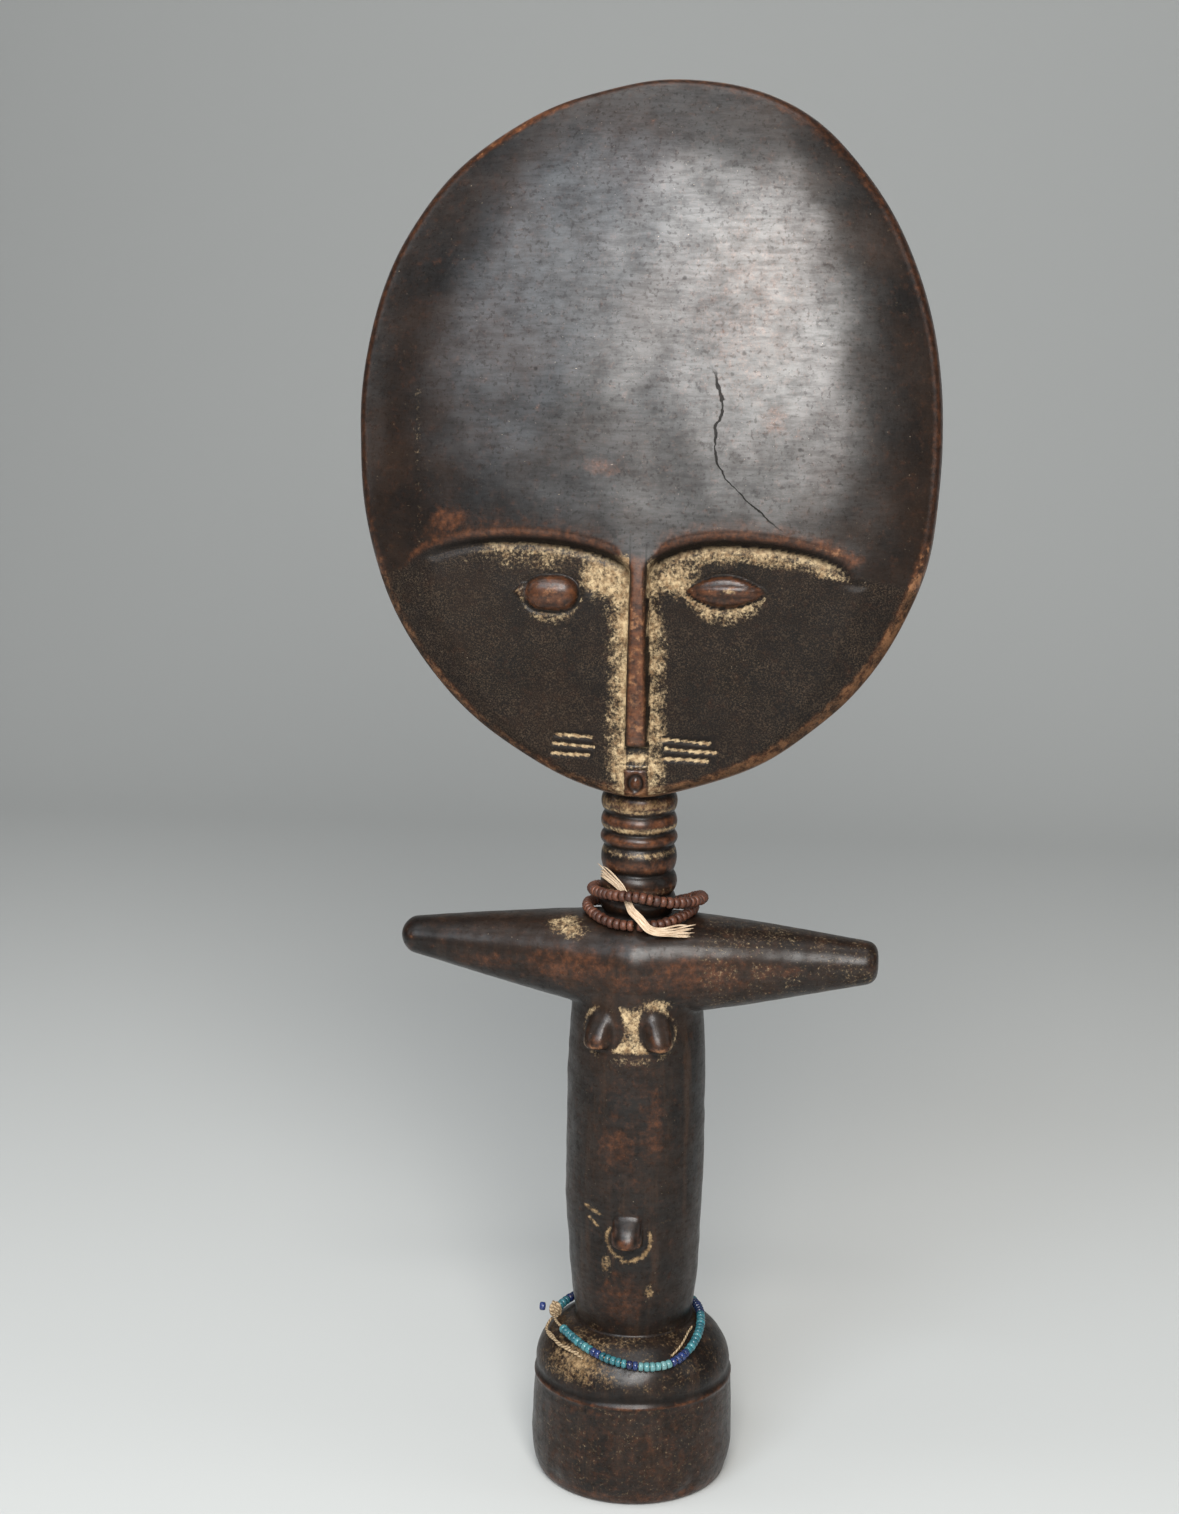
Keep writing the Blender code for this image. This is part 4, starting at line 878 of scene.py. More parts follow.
def bend_of(points, edges, normals):
    """How far each point stands out of its neighbours along its normal, over the mean length of
    its edges: positive on an outer edge and negative in a groove."""
    offset = points - neighbour_mean(points, edges)
    lengths = np.linalg.norm(points[edges[:, 0]] - points[edges[:, 1]], axis=1)
    mean = np.full(len(points), 1e-9)
    count = np.full(len(points), 1e-9)
    for end in (0, 1):
        np.add.at(mean, edges[:, end], lengths)
        np.add.at(count, edges[:, end], 1)
    return (offset * normals).sum(axis=1) / (mean / count)


def soften_joints(piece):
    """Relaxes the creases where arms, torso, neck and head meet, and leaves the carving alone."""
    points, edges, normals = mesh_arrays(piece.data)
    bend = bend_of(points, edges, normals)
    x, y, z = points.T
    under_arms = (z < ARM_AXIS) & (z > ARM_AXIS - 0.016) & (np.abs(x) < TORSO_RADIUS + 0.001)
    round_neck = np.abs(z - SHOULDER_TOP) < 0.003
    behind_head = (y > -0.012) & (z > CHIN_HEIGHT - 0.003) & (np.abs(x) < 0.014)
    weight = ((bend < -0.10) & (under_arms | round_neck | behind_head)).astype(float)
    for _ in range(4):
        weight = np.maximum(weight, neighbour_mean(weight, edges))
    weight = ramp(weight * 2.5)[:, None]
    for _ in range(8):
        points += 0.6 * weight * (neighbour_mean(points, edges) - points)
    piece.data.vertices.foreach_set("co", points.astype(np.float32).ravel())
    piece.data.update()


def mark(mesh, name, values):
    """Keeps one number for each point of a mesh, for its material to read."""
    layer = mesh.attributes.new(name, "FLOAT", "POINT")
    layer.data.foreach_set("value", np.clip(values, 0.0, 1.0).astype(np.float32))


def faded(distance, width, near, far):
    """An amount that goes evenly from near at 0 to far at the width, and is gone soon after."""
    amount = near + (far - near) * np.clip(distance / width, 0.0, 1.0)
    return amount * (1 - ramp((distance / width - 0.9) / 0.7)) * (distance > -0.0002)


def smear(x, z, centre, reach, strength=1.0):
    """A soft oval patch round a centre of a front view."""
    return strength * ramp(1.3 - np.hypot((x - centre[0]) / reach[0], (z - centre[1]) / reach[1]))


def face_marks(s, l):
    """(pigment, wear, rust, dark, polish) on the front of the head, by side and level. Pigment is
    left under the brows, beside the nose, under the eyes, in the scars and round the mouth. Dark
    is painted shade: under the brows' lips, on the nose's sides and under its tip, in the mouth,
    round the eyes and in the right eye's slits."""
    pigment, wear, rust, dark = (np.zeros(len(s)) for _ in range(4))
    cheek = np.full(len(s), -1.0)
    wider = (NOSE_TIP_WIDTH - NOSE_TOP_WIDTH) / 2 * ramp(-(l - BROW_LEVEL) / 0.045)
    nose_half = NOSE_TOP_WIDTH / 2 + wider
    for sign in (-1, 1):
        right = sign > 0
        inside = outline_distance(s, l, cheek_corners(sign))
        cheek = np.maximum(cheek, inside)
        end = BROW_SHAPES[sign][1]
        out = np.clip(s * sign, 0.002, end)
        below = brow_edge(sign, out) - l
        band = faded(below - 0.0009, *BROW_PIGMENT[sign])
        if right:
            band = band * ramp((0.0520 - s) / 0.008) * ramp((s - 0.001) / 0.002)
            band = band * (below < 0.0009 + 0.0050 * ramp((0.0560 - s) / 0.018))
        else:
            band = band * (0.16 + 0.84 * ramp((s + 0.044) / 0.014)) * ramp((-s - 0.001) / 0.002)
        pigment = np.maximum(pigment, band)
        beside = s * sign - nose_half
        width = 0.0033 if right else 0.0052 - 0.0012 * ramp((-l - 0.035) / 0.025)
        beside = beside - (0.0006 * ramp((-l - 0.045) / 0.01) if right else 0.0002)
        strip = faded(beside, width, NOSE_PIGMENT[sign], 0.34) * ramp((-l - 0.029) / 0.003)
        pigment = np.maximum(pigment, strip)
        eye = RIGHT_EYE if right else LEFT_EYE
        corner = smear(s, l, (sign * 0.0085, eye["level"] + 0.0035), (0.0065, 0.0058), 0.66)
        pigment = np.maximum(pigment, corner * (below > 0.001))
        along, up, _ = eye_reach(eye, s, l)
        reach, tall, near, far = EYE_PIGMENT[sign]
        across = np.clip(1 - along**2 / reach, 0.0, 1.0)
        crescent = (-up - across**0.6) * eye["opening"] / 2
        under = faded(crescent, tall * across**0.35 + 1e-5, near, far)
        pigment = np.maximum(pigment, under * (across > 0.02))
        near_end = ramp((end + 0.003 - s * sign) / 0.006) * ramp((s * sign - 0.0022) / 0.003)
        rust = np.maximum(rust, 0.85 * bell((below + 0.0012) / 0.0014) * near_end)
        above = 0.45 * ramp((below + 0.0070) / 0.005) * (below < 0) * (1.0 if right else 0.6)
        rust = np.maximum(rust, above * near_end)
        # Painted shadow: a dark band along the cut's edge under the brow's lip.
        corner = 0.95 * bell((inside - 0.0003) / 0.0012) * ramp((l + 0.045) / 0.01)
        dark = np.maximum(dark, corner * near_end)
    pigment = np.maximum(pigment, ramp(scar_cut(s, l) * 1.3) * 0.84)
    between_scars = np.zeros(len(s))
    for first, strokes in SCARS.values():
        start, stop = min(stroke[0] for stroke in strokes), max(stroke[1] for stroke in strokes)
        block = ramp((s - start) / 0.001) * ramp((stop - s) / 0.001)
        block = block * (np.abs(l - first + SCAR_PITCH) < SCAR_PITCH * 1.5)
        between_scars = np.maximum(between_scars, block * (1 - ramp(scar_cut(s, l) * 2)))
    dark = np.maximum(dark, 0.8 * between_scars)
    pigment = np.where(between_scars > 0.4, pigment * 0.4, pigment)
    around = np.hypot(s / 0.0062, (l + 0.0800) / 0.0105)
    pigment = np.maximum(pigment, 0.36 * ramp((1.25 - around) / 0.35))
    pigment = np.maximum(pigment, smear(s, l, (0.0, -0.0775), (0.0026, 0.0013), 0.95))
    nose = (np.abs(s) < nose_half + 0.0001) & (l < BROW_LEVEL + 0.001) & (l > NOSE_TIP_LEVEL)
    core = ramp((nose_half - np.abs(s) + 0.0001) / 0.0004) * nose
    rust = np.maximum(rust, core * 0.9 * ramp((BROW_LEVEL - 0.001 - l) / 0.006))
    wear = np.maximum(wear, core * 0.55 * ramp((BROW_LEVEL - 0.004 - l) / 0.010))
    # Painted shade on the nose's sides.
    dark = np.maximum(dark, nose * (1 - core) * 0.8)
    pigment = np.where(nose, 0.0, pigment)
    mouth = (np.abs(s) < MOUTH_WIDTH / 2) & (l < MOUTH_TOP_LEVEL)
    pigment = np.where(mouth, 0.12, pigment)
    rust = np.where(mouth, 0.85, rust)
    # Painted shade in the mouth's hole.
    dark = np.maximum(dark, bell((mouth_reach(s, l) - 0.80) / 0.28) * (l < MOUTH_TOP_LEVEL + 0.001))
    # Painted shadow under the nose's tip.
    nose_shadow = bell((l - NOSE_TIP_LEVEL + 0.0006) / 0.0006) * (np.abs(s) < 0.0030)
    dark = np.maximum(dark, 0.9 * nose_shadow)
    polish = 0.12 + 0.16 * ramp((l + 0.062) / 0.030) * ramp((-s + 0.008) / 0.020)
    for eye in (LEFT_EYE, RIGHT_EYE):
        along, up, reach = eye_reach(eye, s, l)
        ball = reach < 1.02
        # The line round each eye is painted shade in its groove, and pigment is cleared there.
        line = bell((reach - 1.07) / 0.07) * (0.9 if eye is LEFT_EYE else 0.75)
        pigment = np.where(ball | (line > 0.4), 0.05, pigment)
        rust = np.where(ball, 0.62, rust)
        wear = np.where(ball, 0.42 * ramp((0.95 - reach) / 0.5), wear)
        dark = np.where(reach < 1.4, np.maximum(dark * (~ball), line), dark)
        polish = np.where(ball, 0.72, polish)
    along, up, reach = eye_reach(RIGHT_EYE, s, l)
    # Painted shade in the right eye's two slits.
    dark = np.maximum(dark, 0.85 * lid_slits(along, up) * (reach < 1))
    # Painted highlight: a pale spot in pigment colour on the right eye's small almond.
    eye_glint = bell(np.hypot((along - 0.12) / 0.16, (lid_place(along, up) - 0.02) / 0.22))
    pigment = np.maximum(pigment, 0.66 * (reach < 1) * eye_glint)
    facet = eye_facet(s, l)
    pigment = np.maximum(pigment, 0.36 * facet)
    rust = np.maximum(rust, 0.8 * facet)
    forehead = 1 - ramp((cheek + 0.0020) / 0.0025)
    polish = np.maximum(polish, forehead)
    polish = np.maximum(polish, smear(s, l, (-0.0114, -0.0389), (0.0016, 0.0020), 0.8))
    return pigment, wear, rust, dark, polish


def body_marks(x, y, z):
    """(pigment, ochre, rust, dark) below the head: the neck's bands, between the breasts, round the
    navel, on the base's shoulder and thinly along the arms. Dark is painted shade in the neck's
    grooves, under the chin, round the breasts and in the cut above the base's ridge."""
    radius = np.hypot(x, y)
    front = ramp((-y - 0.002) / 0.004)
    pigment, ochre, rust, dark = (np.zeros(len(x)) for _ in range(4))
    points = np.stack([x, y, z], axis=-1)
    on_neck = (z > SHOULDER_TOP - 0.001) & (radius < NECK_RADIUS + 0.0012)
    phase = neck_phase(points)
    up = np.interp(phase, np.arange(len(NECK_GROOVES)), NECK_GROOVES) + SHOULDER_TOP
    for level, width, amount in NECK_PIGMENT:
        pigment = np.maximum(pigment, on_neck * amount * bell((up - level) / width))
    ochre = np.maximum(ochre, on_neck * (0.25 + 0.75 * bell((up - 0.1732) / 0.0022)))
    for level, width, amount in NECK_RUST:
        rust = np.maximum(rust, on_neck * amount * bell((up - level) / width))
    # Painted shade in the neck's grooves.
    groove = np.abs(np.sin(phase * math.pi))
    dark = np.maximum(dark, on_neck * 0.85 * bell(groove / 0.28) * (up < 0.1760))
    # Painted shadow under the chin.
    dark = np.maximum(dark, on_neck * 0.7 * bell((up - 0.1750) / 0.0009))
    waist = 0.0026 + 0.0014 * np.clip((z - 0.1192) / 0.0052, 0, 1) ** 2
    waist += 0.0026 * np.clip((0.1180 - z) / 0.0044, 0, 1) ** 2
    ends = ramp((z - 0.1125) / 0.0010) * ramp((0.1250 - z) / 0.0012)
    inner = ramp((waist - np.abs(x - 0.0003)) / 0.0012) * ends
    pigment = np.maximum(pigment, inner * front * 0.64)
    pigment = np.maximum(pigment, smear(x, z, (0.0058, 0.1248), (0.0046, 0.0019), 0.52) * front)
    # Painted highlight: a thin pale line, in pigment colour, along the edge below the breasts.
    ledge_highlight = bell((z - 0.1112) / 0.0009) * ramp((0.0062 - np.abs(x)) / 0.002)
    pigment = np.maximum(pigment, front * 0.44 * ledge_highlight)
    for middle in BREAST_SIDES:
        up = z - BREAST_LEVEL + 0.0012
        edge = np.hypot((x - middle) / (BREAST_WIDTH / 2), up / (BREAST_HEIGHT / 2))
        outer = np.abs(x) > abs(middle)
        pigment = np.maximum(pigment, front * outer * 0.50 * bell((edge - 1.32) / 0.16))
        tip = smear(x, z, (middle, BREAST_LEVEL - 0.0026), (0.0020, 0.0022), 0.50)
        rust = np.maximum(rust, front * tip)
        # Painted shade round each breast's edge.
        dark = np.maximum(dark, front * 0.6 * bell((edge - 1.12) / 0.12))
        pigment = np.where(edge < 1.0, pigment * 0.2, pigment)
    for centre, reach, strength in BODY_RUST:
        rust = np.maximum(rust, smear(x, z, centre, reach, strength) * front)
    pigment = np.maximum(pigment, front * 0.66 * ramp(navel_ring(x, z) * 1.4))
    pigment = np.maximum(pigment, front * 0.80 * navel_scratches(x, z))
    ochre = np.maximum(ochre, 0.8 * (np.abs(z - NAVEL_LEVEL) < 0.012) * front)
    for centre, reach in NAVEL_SPOTS:
        pigment = np.maximum(pigment, smear(x, z, centre, reach, 0.52) * front)
        ochre = np.maximum(ochre, smear(x, z, centre, reach, 0.8) * front)
    dome = ramp((z - 0.0285) / 0.002) * ramp((0.0425 - z) / 0.001) * (radius > TORSO_FOOT_RADIUS)
    around = np.degrees(np.arctan2(y, x)) % 360
    left = bell((around - 238) / 24) * bell((z - 0.0345) / 0.0045)
    pigment = np.maximum(pigment, dome * (0.20 + 0.36 * left))
    ochre = np.maximum(ochre, dome * 0.85)
    rust = np.maximum(rust, 0.60 * bell((z - BASE_RIDGE_HEIGHT) / 0.0005))
    # Painted shade in the cut above the ridge.
    dark = np.maximum(dark, 0.8 * bell((z - BASE_RIDGE_HEIGHT - RIDGE_CUT_ABOVE) / 0.0008))
    on_arms = np.abs(z - ARM_AXIS - 0.003) < 0.014
    pigment = np.maximum(pigment, on_arms * 0.17 * ramp((x - 0.010) / 0.010))
    top_left = smear(x, z, (-0.0160, SHOULDER_TOP - 0.0025), (0.0060, 0.0030), 0.50)
    pigment = np.maximum(pigment, top_left * front)
    pigment = np.maximum(pigment, (z < BASE_RIDGE_HEIGHT) * 0.12)
    rust = np.maximum(rust, (z < BASE_RIDGE_HEIGHT) * 0.18 + (z < 0.0035) * 0.35)
    return pigment, ochre, rust, dark


def mark_figure(mesh):
    """Keeps the worn, pigmented, reddish and polished places for the wood's material, and the
    places painted with shade. They come from the shape itself and from the places that hands and
    pigment reached, and the shade from the grooves, undercuts and overhangs."""
    points, edges, normals = mesh_arrays(mesh)
    bend = bend_of(points, edges, normals)
    for _ in range(2):
        bend = 0.5 * bend + 0.5 * neighbour_mean(bend, edges)
    x, y, z = points.T
    side, front, level = world_to_head(points)
    on_head = (z > CHIN_HEIGHT - 0.004) & (np.hypot(x, y) > NECK_RADIUS + 0.0008)
    on_head |= z > NECK_TOP + 0.008
    on_face = on_head & (front > 0.0005)
    face = face_marks(side[on_face], level[on_face])
    pigment, ochre, rust, dark = body_marks(x, y, z)
    for values in (pigment, ochre, rust, dark):
        values[on_head] = 0.0
    wear, polish = np.zeros(len(x)), np.full(len(x), 0.62)
    for values, found in zip((pigment, wear, rust, dark, polish), face):
        values[on_face] = found
    length = np.where(level > 0, HEAD_CROWN_LENGTH, HEAD_CHIN_LENGTH)
    rim = np.hypot(*head_outline(np.arctan2(level / length, side / HEAD_HALF_WIDTH)))
    share = np.hypot(side, level) / np.maximum(rim, 1e-6)
    wear = np.maximum(wear, 0.85 * ramp(bend * 5.0) * (1 - 0.5 * on_face))
    jaw = ramp((-level - 0.012) / 0.030) * (0.75 + 0.25 * (side > 0))
    crown = smear(side, level, (-0.031, 0.068), (0.020, 0.012), 1.0)
    bevel = ramp((share - 0.958) / 0.016)
    wear = np.maximum(wear, on_head * bevel * (np.maximum(0.80 * jaw, 0.45 * crown) + 0.12))
    rust = np.maximum(rust, on_head * bevel * np.maximum(0.95 * np.maximum(jaw, crown), 0.40))
    for centre, reach, strength in HEAD_RUST:
        rust = np.maximum(rust, on_face * smear(side, level, centre, reach, strength))
    wear = np.maximum(wear, on_face * smear(side, level, (0.0440, -0.0285), (0.0060, 0.0016), 0.6))
    # The fine crease on the face's left is not cut: it is painted as a line of shade with a faint pale
    # line on it.
    crease = bell((side - np.interp(level, CREASE_LEVELS, CREASE_SIDES)) / 0.0005)
    crease *= ramp((level + 0.055) / 0.004) * ramp((0.010 - level) / 0.004)
    dark = np.maximum(dark, on_face * 0.55 * crease)
    pigment = np.maximum(pigment, on_face * 0.24 * crease)
    cheek = on_face * (1 - ramp((polish - 0.26) / 0.3))
    found = (pigment, ochre, wear, rust, dark, polish, cheek, ~on_head * 1.0)
    for name, values in zip(WOOD_MARKS, found):
        mark(mesh, name, values)


def socket_group(name, inputs, outputs):
    """An empty shader node group: (group, its inputs, its outputs). An input is a name with a
    number, or with None for a vector, and the outputs are numbers."""
    group = bpy.data.node_groups.new(name, "ShaderNodeTree")
    for label, value in inputs:
        kind = "NodeSocketVector" if value is None else "NodeSocketFloat"
        socket = group.interface.new_socket(label, in_out="INPUT", socket_type=kind)
        if value is not None:
            socket.default_value = value
    for label in outputs:
        group.interface.new_socket(label, in_out="OUTPUT", socket_type="NodeSocketFloat")
    return group, group.nodes.new("NodeGroupInput").outputs, group.nodes.new("NodeGroupOutput").inputs


def calculate(tree, operation, first, second=0.0, third=0.0, clamp=False):
    """The result socket of a Math node."""
    settings = {"operation": operation, "use_clamp": clamp}
    return place_node(tree, "ShaderNodeMath", settings, _0=first, _1=second, _2=third).outputs[0]


def between(tree, value, low, high, start=0.0, stop=1.0, kind="SMOOTHSTEP"):
    """A value taken from the range low to high to the range start to stop, clamped."""
    limits = {"From_Min": low, "From_Max": high, "To_Min": start, "To_Max": stop}
    made = place_node(tree, "ShaderNodeMapRange", {"interpolation_type": kind}, Value=value, **limits)
    return made.outputs["Result"]


def noise(tree, where, scale, detail=4.0, roughness=0.6, stretch=None, turn=(0.0, 0.0, 0.0)):
    """The value socket of a noise texture, stretched and turned where that is asked for."""
    if stretch is not None:
        place = {"Vector": where, "Scale": stretch, "Rotation": turn}
        where = place_node(tree, "ShaderNodeMapping", {"vector_type": "POINT"}, **place).outputs[0]
    look = {"Scale": scale, "Detail": detail, "Roughness": roughness}
    return place_node(tree, "ShaderNodeTexNoise", Vector=where, **look).outputs[0]


def product(tree, *factors):
    """The socket of several sockets or numbers multiplied."""
    total = factors[0]
    for factor in factors[1:]:
        total = calculate(tree, "MULTIPLY", total, factor)
    return total


def object_place(tree):
    """The socket of the place in the object."""
    return place_node(tree, "ShaderNodeTexCoord").outputs["Object"]


def read_mark(tree, name, output="Fac"):
    """The socket of a mark kept on the mesh's points."""
    return place_node(tree, "ShaderNodeAttribute", {"attribute_name": name}).outputs[output]


def feed(tree, shader, colour, roughness, height, strength, distance=0.0002):
    """Links a finish's colour and roughness to its shader, and its height through a Bump node."""
    tree.links.new(colour, shader.inputs["Base Color"])
    if roughness is not None:
        tree.links.new(roughness, shader.inputs["Roughness"])
    bump = place_node(tree, "ShaderNodeBump", Height=height, Strength=strength, Distance=distance)
    tree.links.new(bump.outputs[0], shader.inputs["Normal"])


def blend_colours(tree, share, first, second):
    """A colour part of the way from the first to the second."""
    made = place_node(tree, "ShaderNodeMix", {"data_type": "RGBA"}, Factor=share, _6=first, _7=second)
    return made.outputs[2]


def group_node(tree, group, **inputs):
    """A node that stands for a node group in another tree."""
    return place_node(tree, "ShaderNodeGroup", {"node_tree": group}, **inputs)


def patchy_group():
    """Breaks a soft amount up into patches with ragged edges: a noise is compared with the amount,
    so more of the noise is let through where the amount is higher."""
    inputs = [("Coordinates", None), ("Amount", 0.5), ("Scale", 900.0), ("Softness", 0.08)]
    group, given, result = socket_group("ragged patches", inputs, ["Mask"])
    grain = noise(group, given["Coordinates"], given["Scale"], 6.0, 0.70)
    spread = calculate(group, "MULTIPLY_ADD", grain, 1.7, -0.85)
    level = calculate(group, "ADD", spread, given["Amount"])
    low = calculate(group, "SUBTRACT", 0.5, given["Softness"])
    high = calculate(group, "ADD", 0.5, given["Softness"])
    group.links.new(between(group, level, low, high), result["Mask"])
    return group


def carved_surface_group():
    """Height of hand-cut wood: shallow knife facets, fine scratches in two directions and pores
    along the grain, each with its own weight. Tone is the scratches alone."""
    inputs = [("Coordinates", None), ("Facets", 0.5), ("Scratches", 0.5), ("Pores", 0.5)]
    group, given, result = socket_group("knife-cut surface", inputs, ["Height", "Tone"])
    where = given["Coordinates"]
    facets = noise(group, where, 95.0, 2.0, 0.5)
    level = noise(group, where, 560.0, 5.0, 0.7, (0.30, 0.7, 1.5))
    slanted = noise(group, where, 640.0, 4.0, 0.7, (0.26, 0.7, 1.5), (0.0, math.radians(38), 0.0))
    scratches = calculate(group, "MULTIPLY_ADD", slanted, 0.6, product(group, level, 0.6))
    pores = noise(group, where, 1500.0, 3.0, 0.6, (1.0, 1.0, 0.35))
    height = product(group, facets, given["Facets"])
    height = calculate(group, "MULTIPLY_ADD", scratches, given["Scratches"], height)
    height = calculate(group, "MULTIPLY_ADD", pores, given["Pores"], height)
    group.links.new(height, result["Height"])
    group.links.new(scratches, result["Tone"])
    return group


CRACK_LOW, CRACK_HIGH = -0.0255, 0.0135
CRACK_SPAN = 0.04
CRACK_THIN, CRACK_WIDE = 0.00020, 0.00050
CRACK = (
    (-0.0250, 0.0338), (-0.0186, 0.0261), (-0.0112, 0.0188), (-0.0076, 0.0175),
    (-0.0010, 0.0171), (0.0029, 0.0184), (0.0131, 0.0153),
)
PITS = ((-0.0018, 0.0507), (0.0090, 0.0330), (0.0364, -0.0057), (0.0230, 0.0160), (-0.0250, 0.0120))


def crack_line(tree, place):
    """1 along the drying crack over the right brow. A curve gives its side at each level."""
    parts = place_node(tree, "ShaderNodeSeparateXYZ", Vector=place).outputs
    share = between(tree, parts["Z"], CRACK_LOW, CRACK_HIGH, kind="LINEAR")
    bend = place_node(tree, "ShaderNodeFloatCurve", Value=share)
    points = bend.mapping.curves[0].points
    for count, (level, side) in enumerate(CRACK):
        x, y = (level - CRACK_LOW) / (CRACK_HIGH - CRACK_LOW), side / CRACK_SPAN
        if count < 2:
            points[count].location = (x, y)
        else:
            points.new(x, y)
    bend.mapping.update()
    wiggle = calculate(tree, "MULTIPLY_ADD", noise(tree, place, 260.0, 4.0), 0.0026, -0.0013)
    side = calculate(tree, "ADD", parts["X"], wiggle)
    off = calculate(tree, "MULTIPLY_ADD", bend.outputs[0], -CRACK_SPAN, side)
    width = between(tree, noise(tree, place, 420.0, 2.0), 0.35, 0.7, CRACK_THIN, CRACK_WIDE)
    share = calculate(tree, "DIVIDE", calculate(tree, "ABSOLUTE", off), width)
    line = between(tree, share, 0.5, 1.1, 1.0, 0.0)
    low = between(tree, parts["Z"], CRACK_LOW, CRACK_LOW + 0.004)
    high = between(tree, parts["Z"], CRACK_HIGH - 0.004, CRACK_HIGH, 1.0, 0.0)
    front = calculate(tree, "LESS_THAN", parts["Y"], 0.0)
    return product(tree, line, product(tree, low, high), front)


STAIN_BLACK, STAIN_BROWN = (0.0042, 0.0030, 0.0024, 1), (0.0150, 0.0078, 0.0044, 1)
STREAK_BROWN = (0.038, 0.019, 0.010, 1)
RUBBED_DARK, RUBBED_RED = (0.030, 0.0115, 0.0055, 1), (0.105, 0.037, 0.0145, 1)
BARE_WOOD = (0.21, 0.098, 0.044, 1)
GRIT_DARK, GRIT_PALE = (0.0050, 0.0036, 0.0027, 1), (0.052, 0.035, 0.022, 1)
DUST = (0.26, 0.20, 0.14, 1)
CREAM_WORN, CREAM = (0.21, 0.130, 0.066, 1), (0.56, 0.42, 0.245, 1)
OCHRE_WORN, OCHRE = (0.145, 0.085, 0.036, 1), (0.33, 0.215, 0.110, 1)
# The first colour here is the near-black laid on as painted shade where the dark mark is; the second
# paints shade into the crack and the pits.
PAINTED_SHADE, CRACK_BLACK = (0.0060, 0.0045, 0.0038, 1), (0.004, 0.003, 0.002, 1)
WAX_ROUGHNESS, WOOD_SPECULAR = 0.28, 0.12


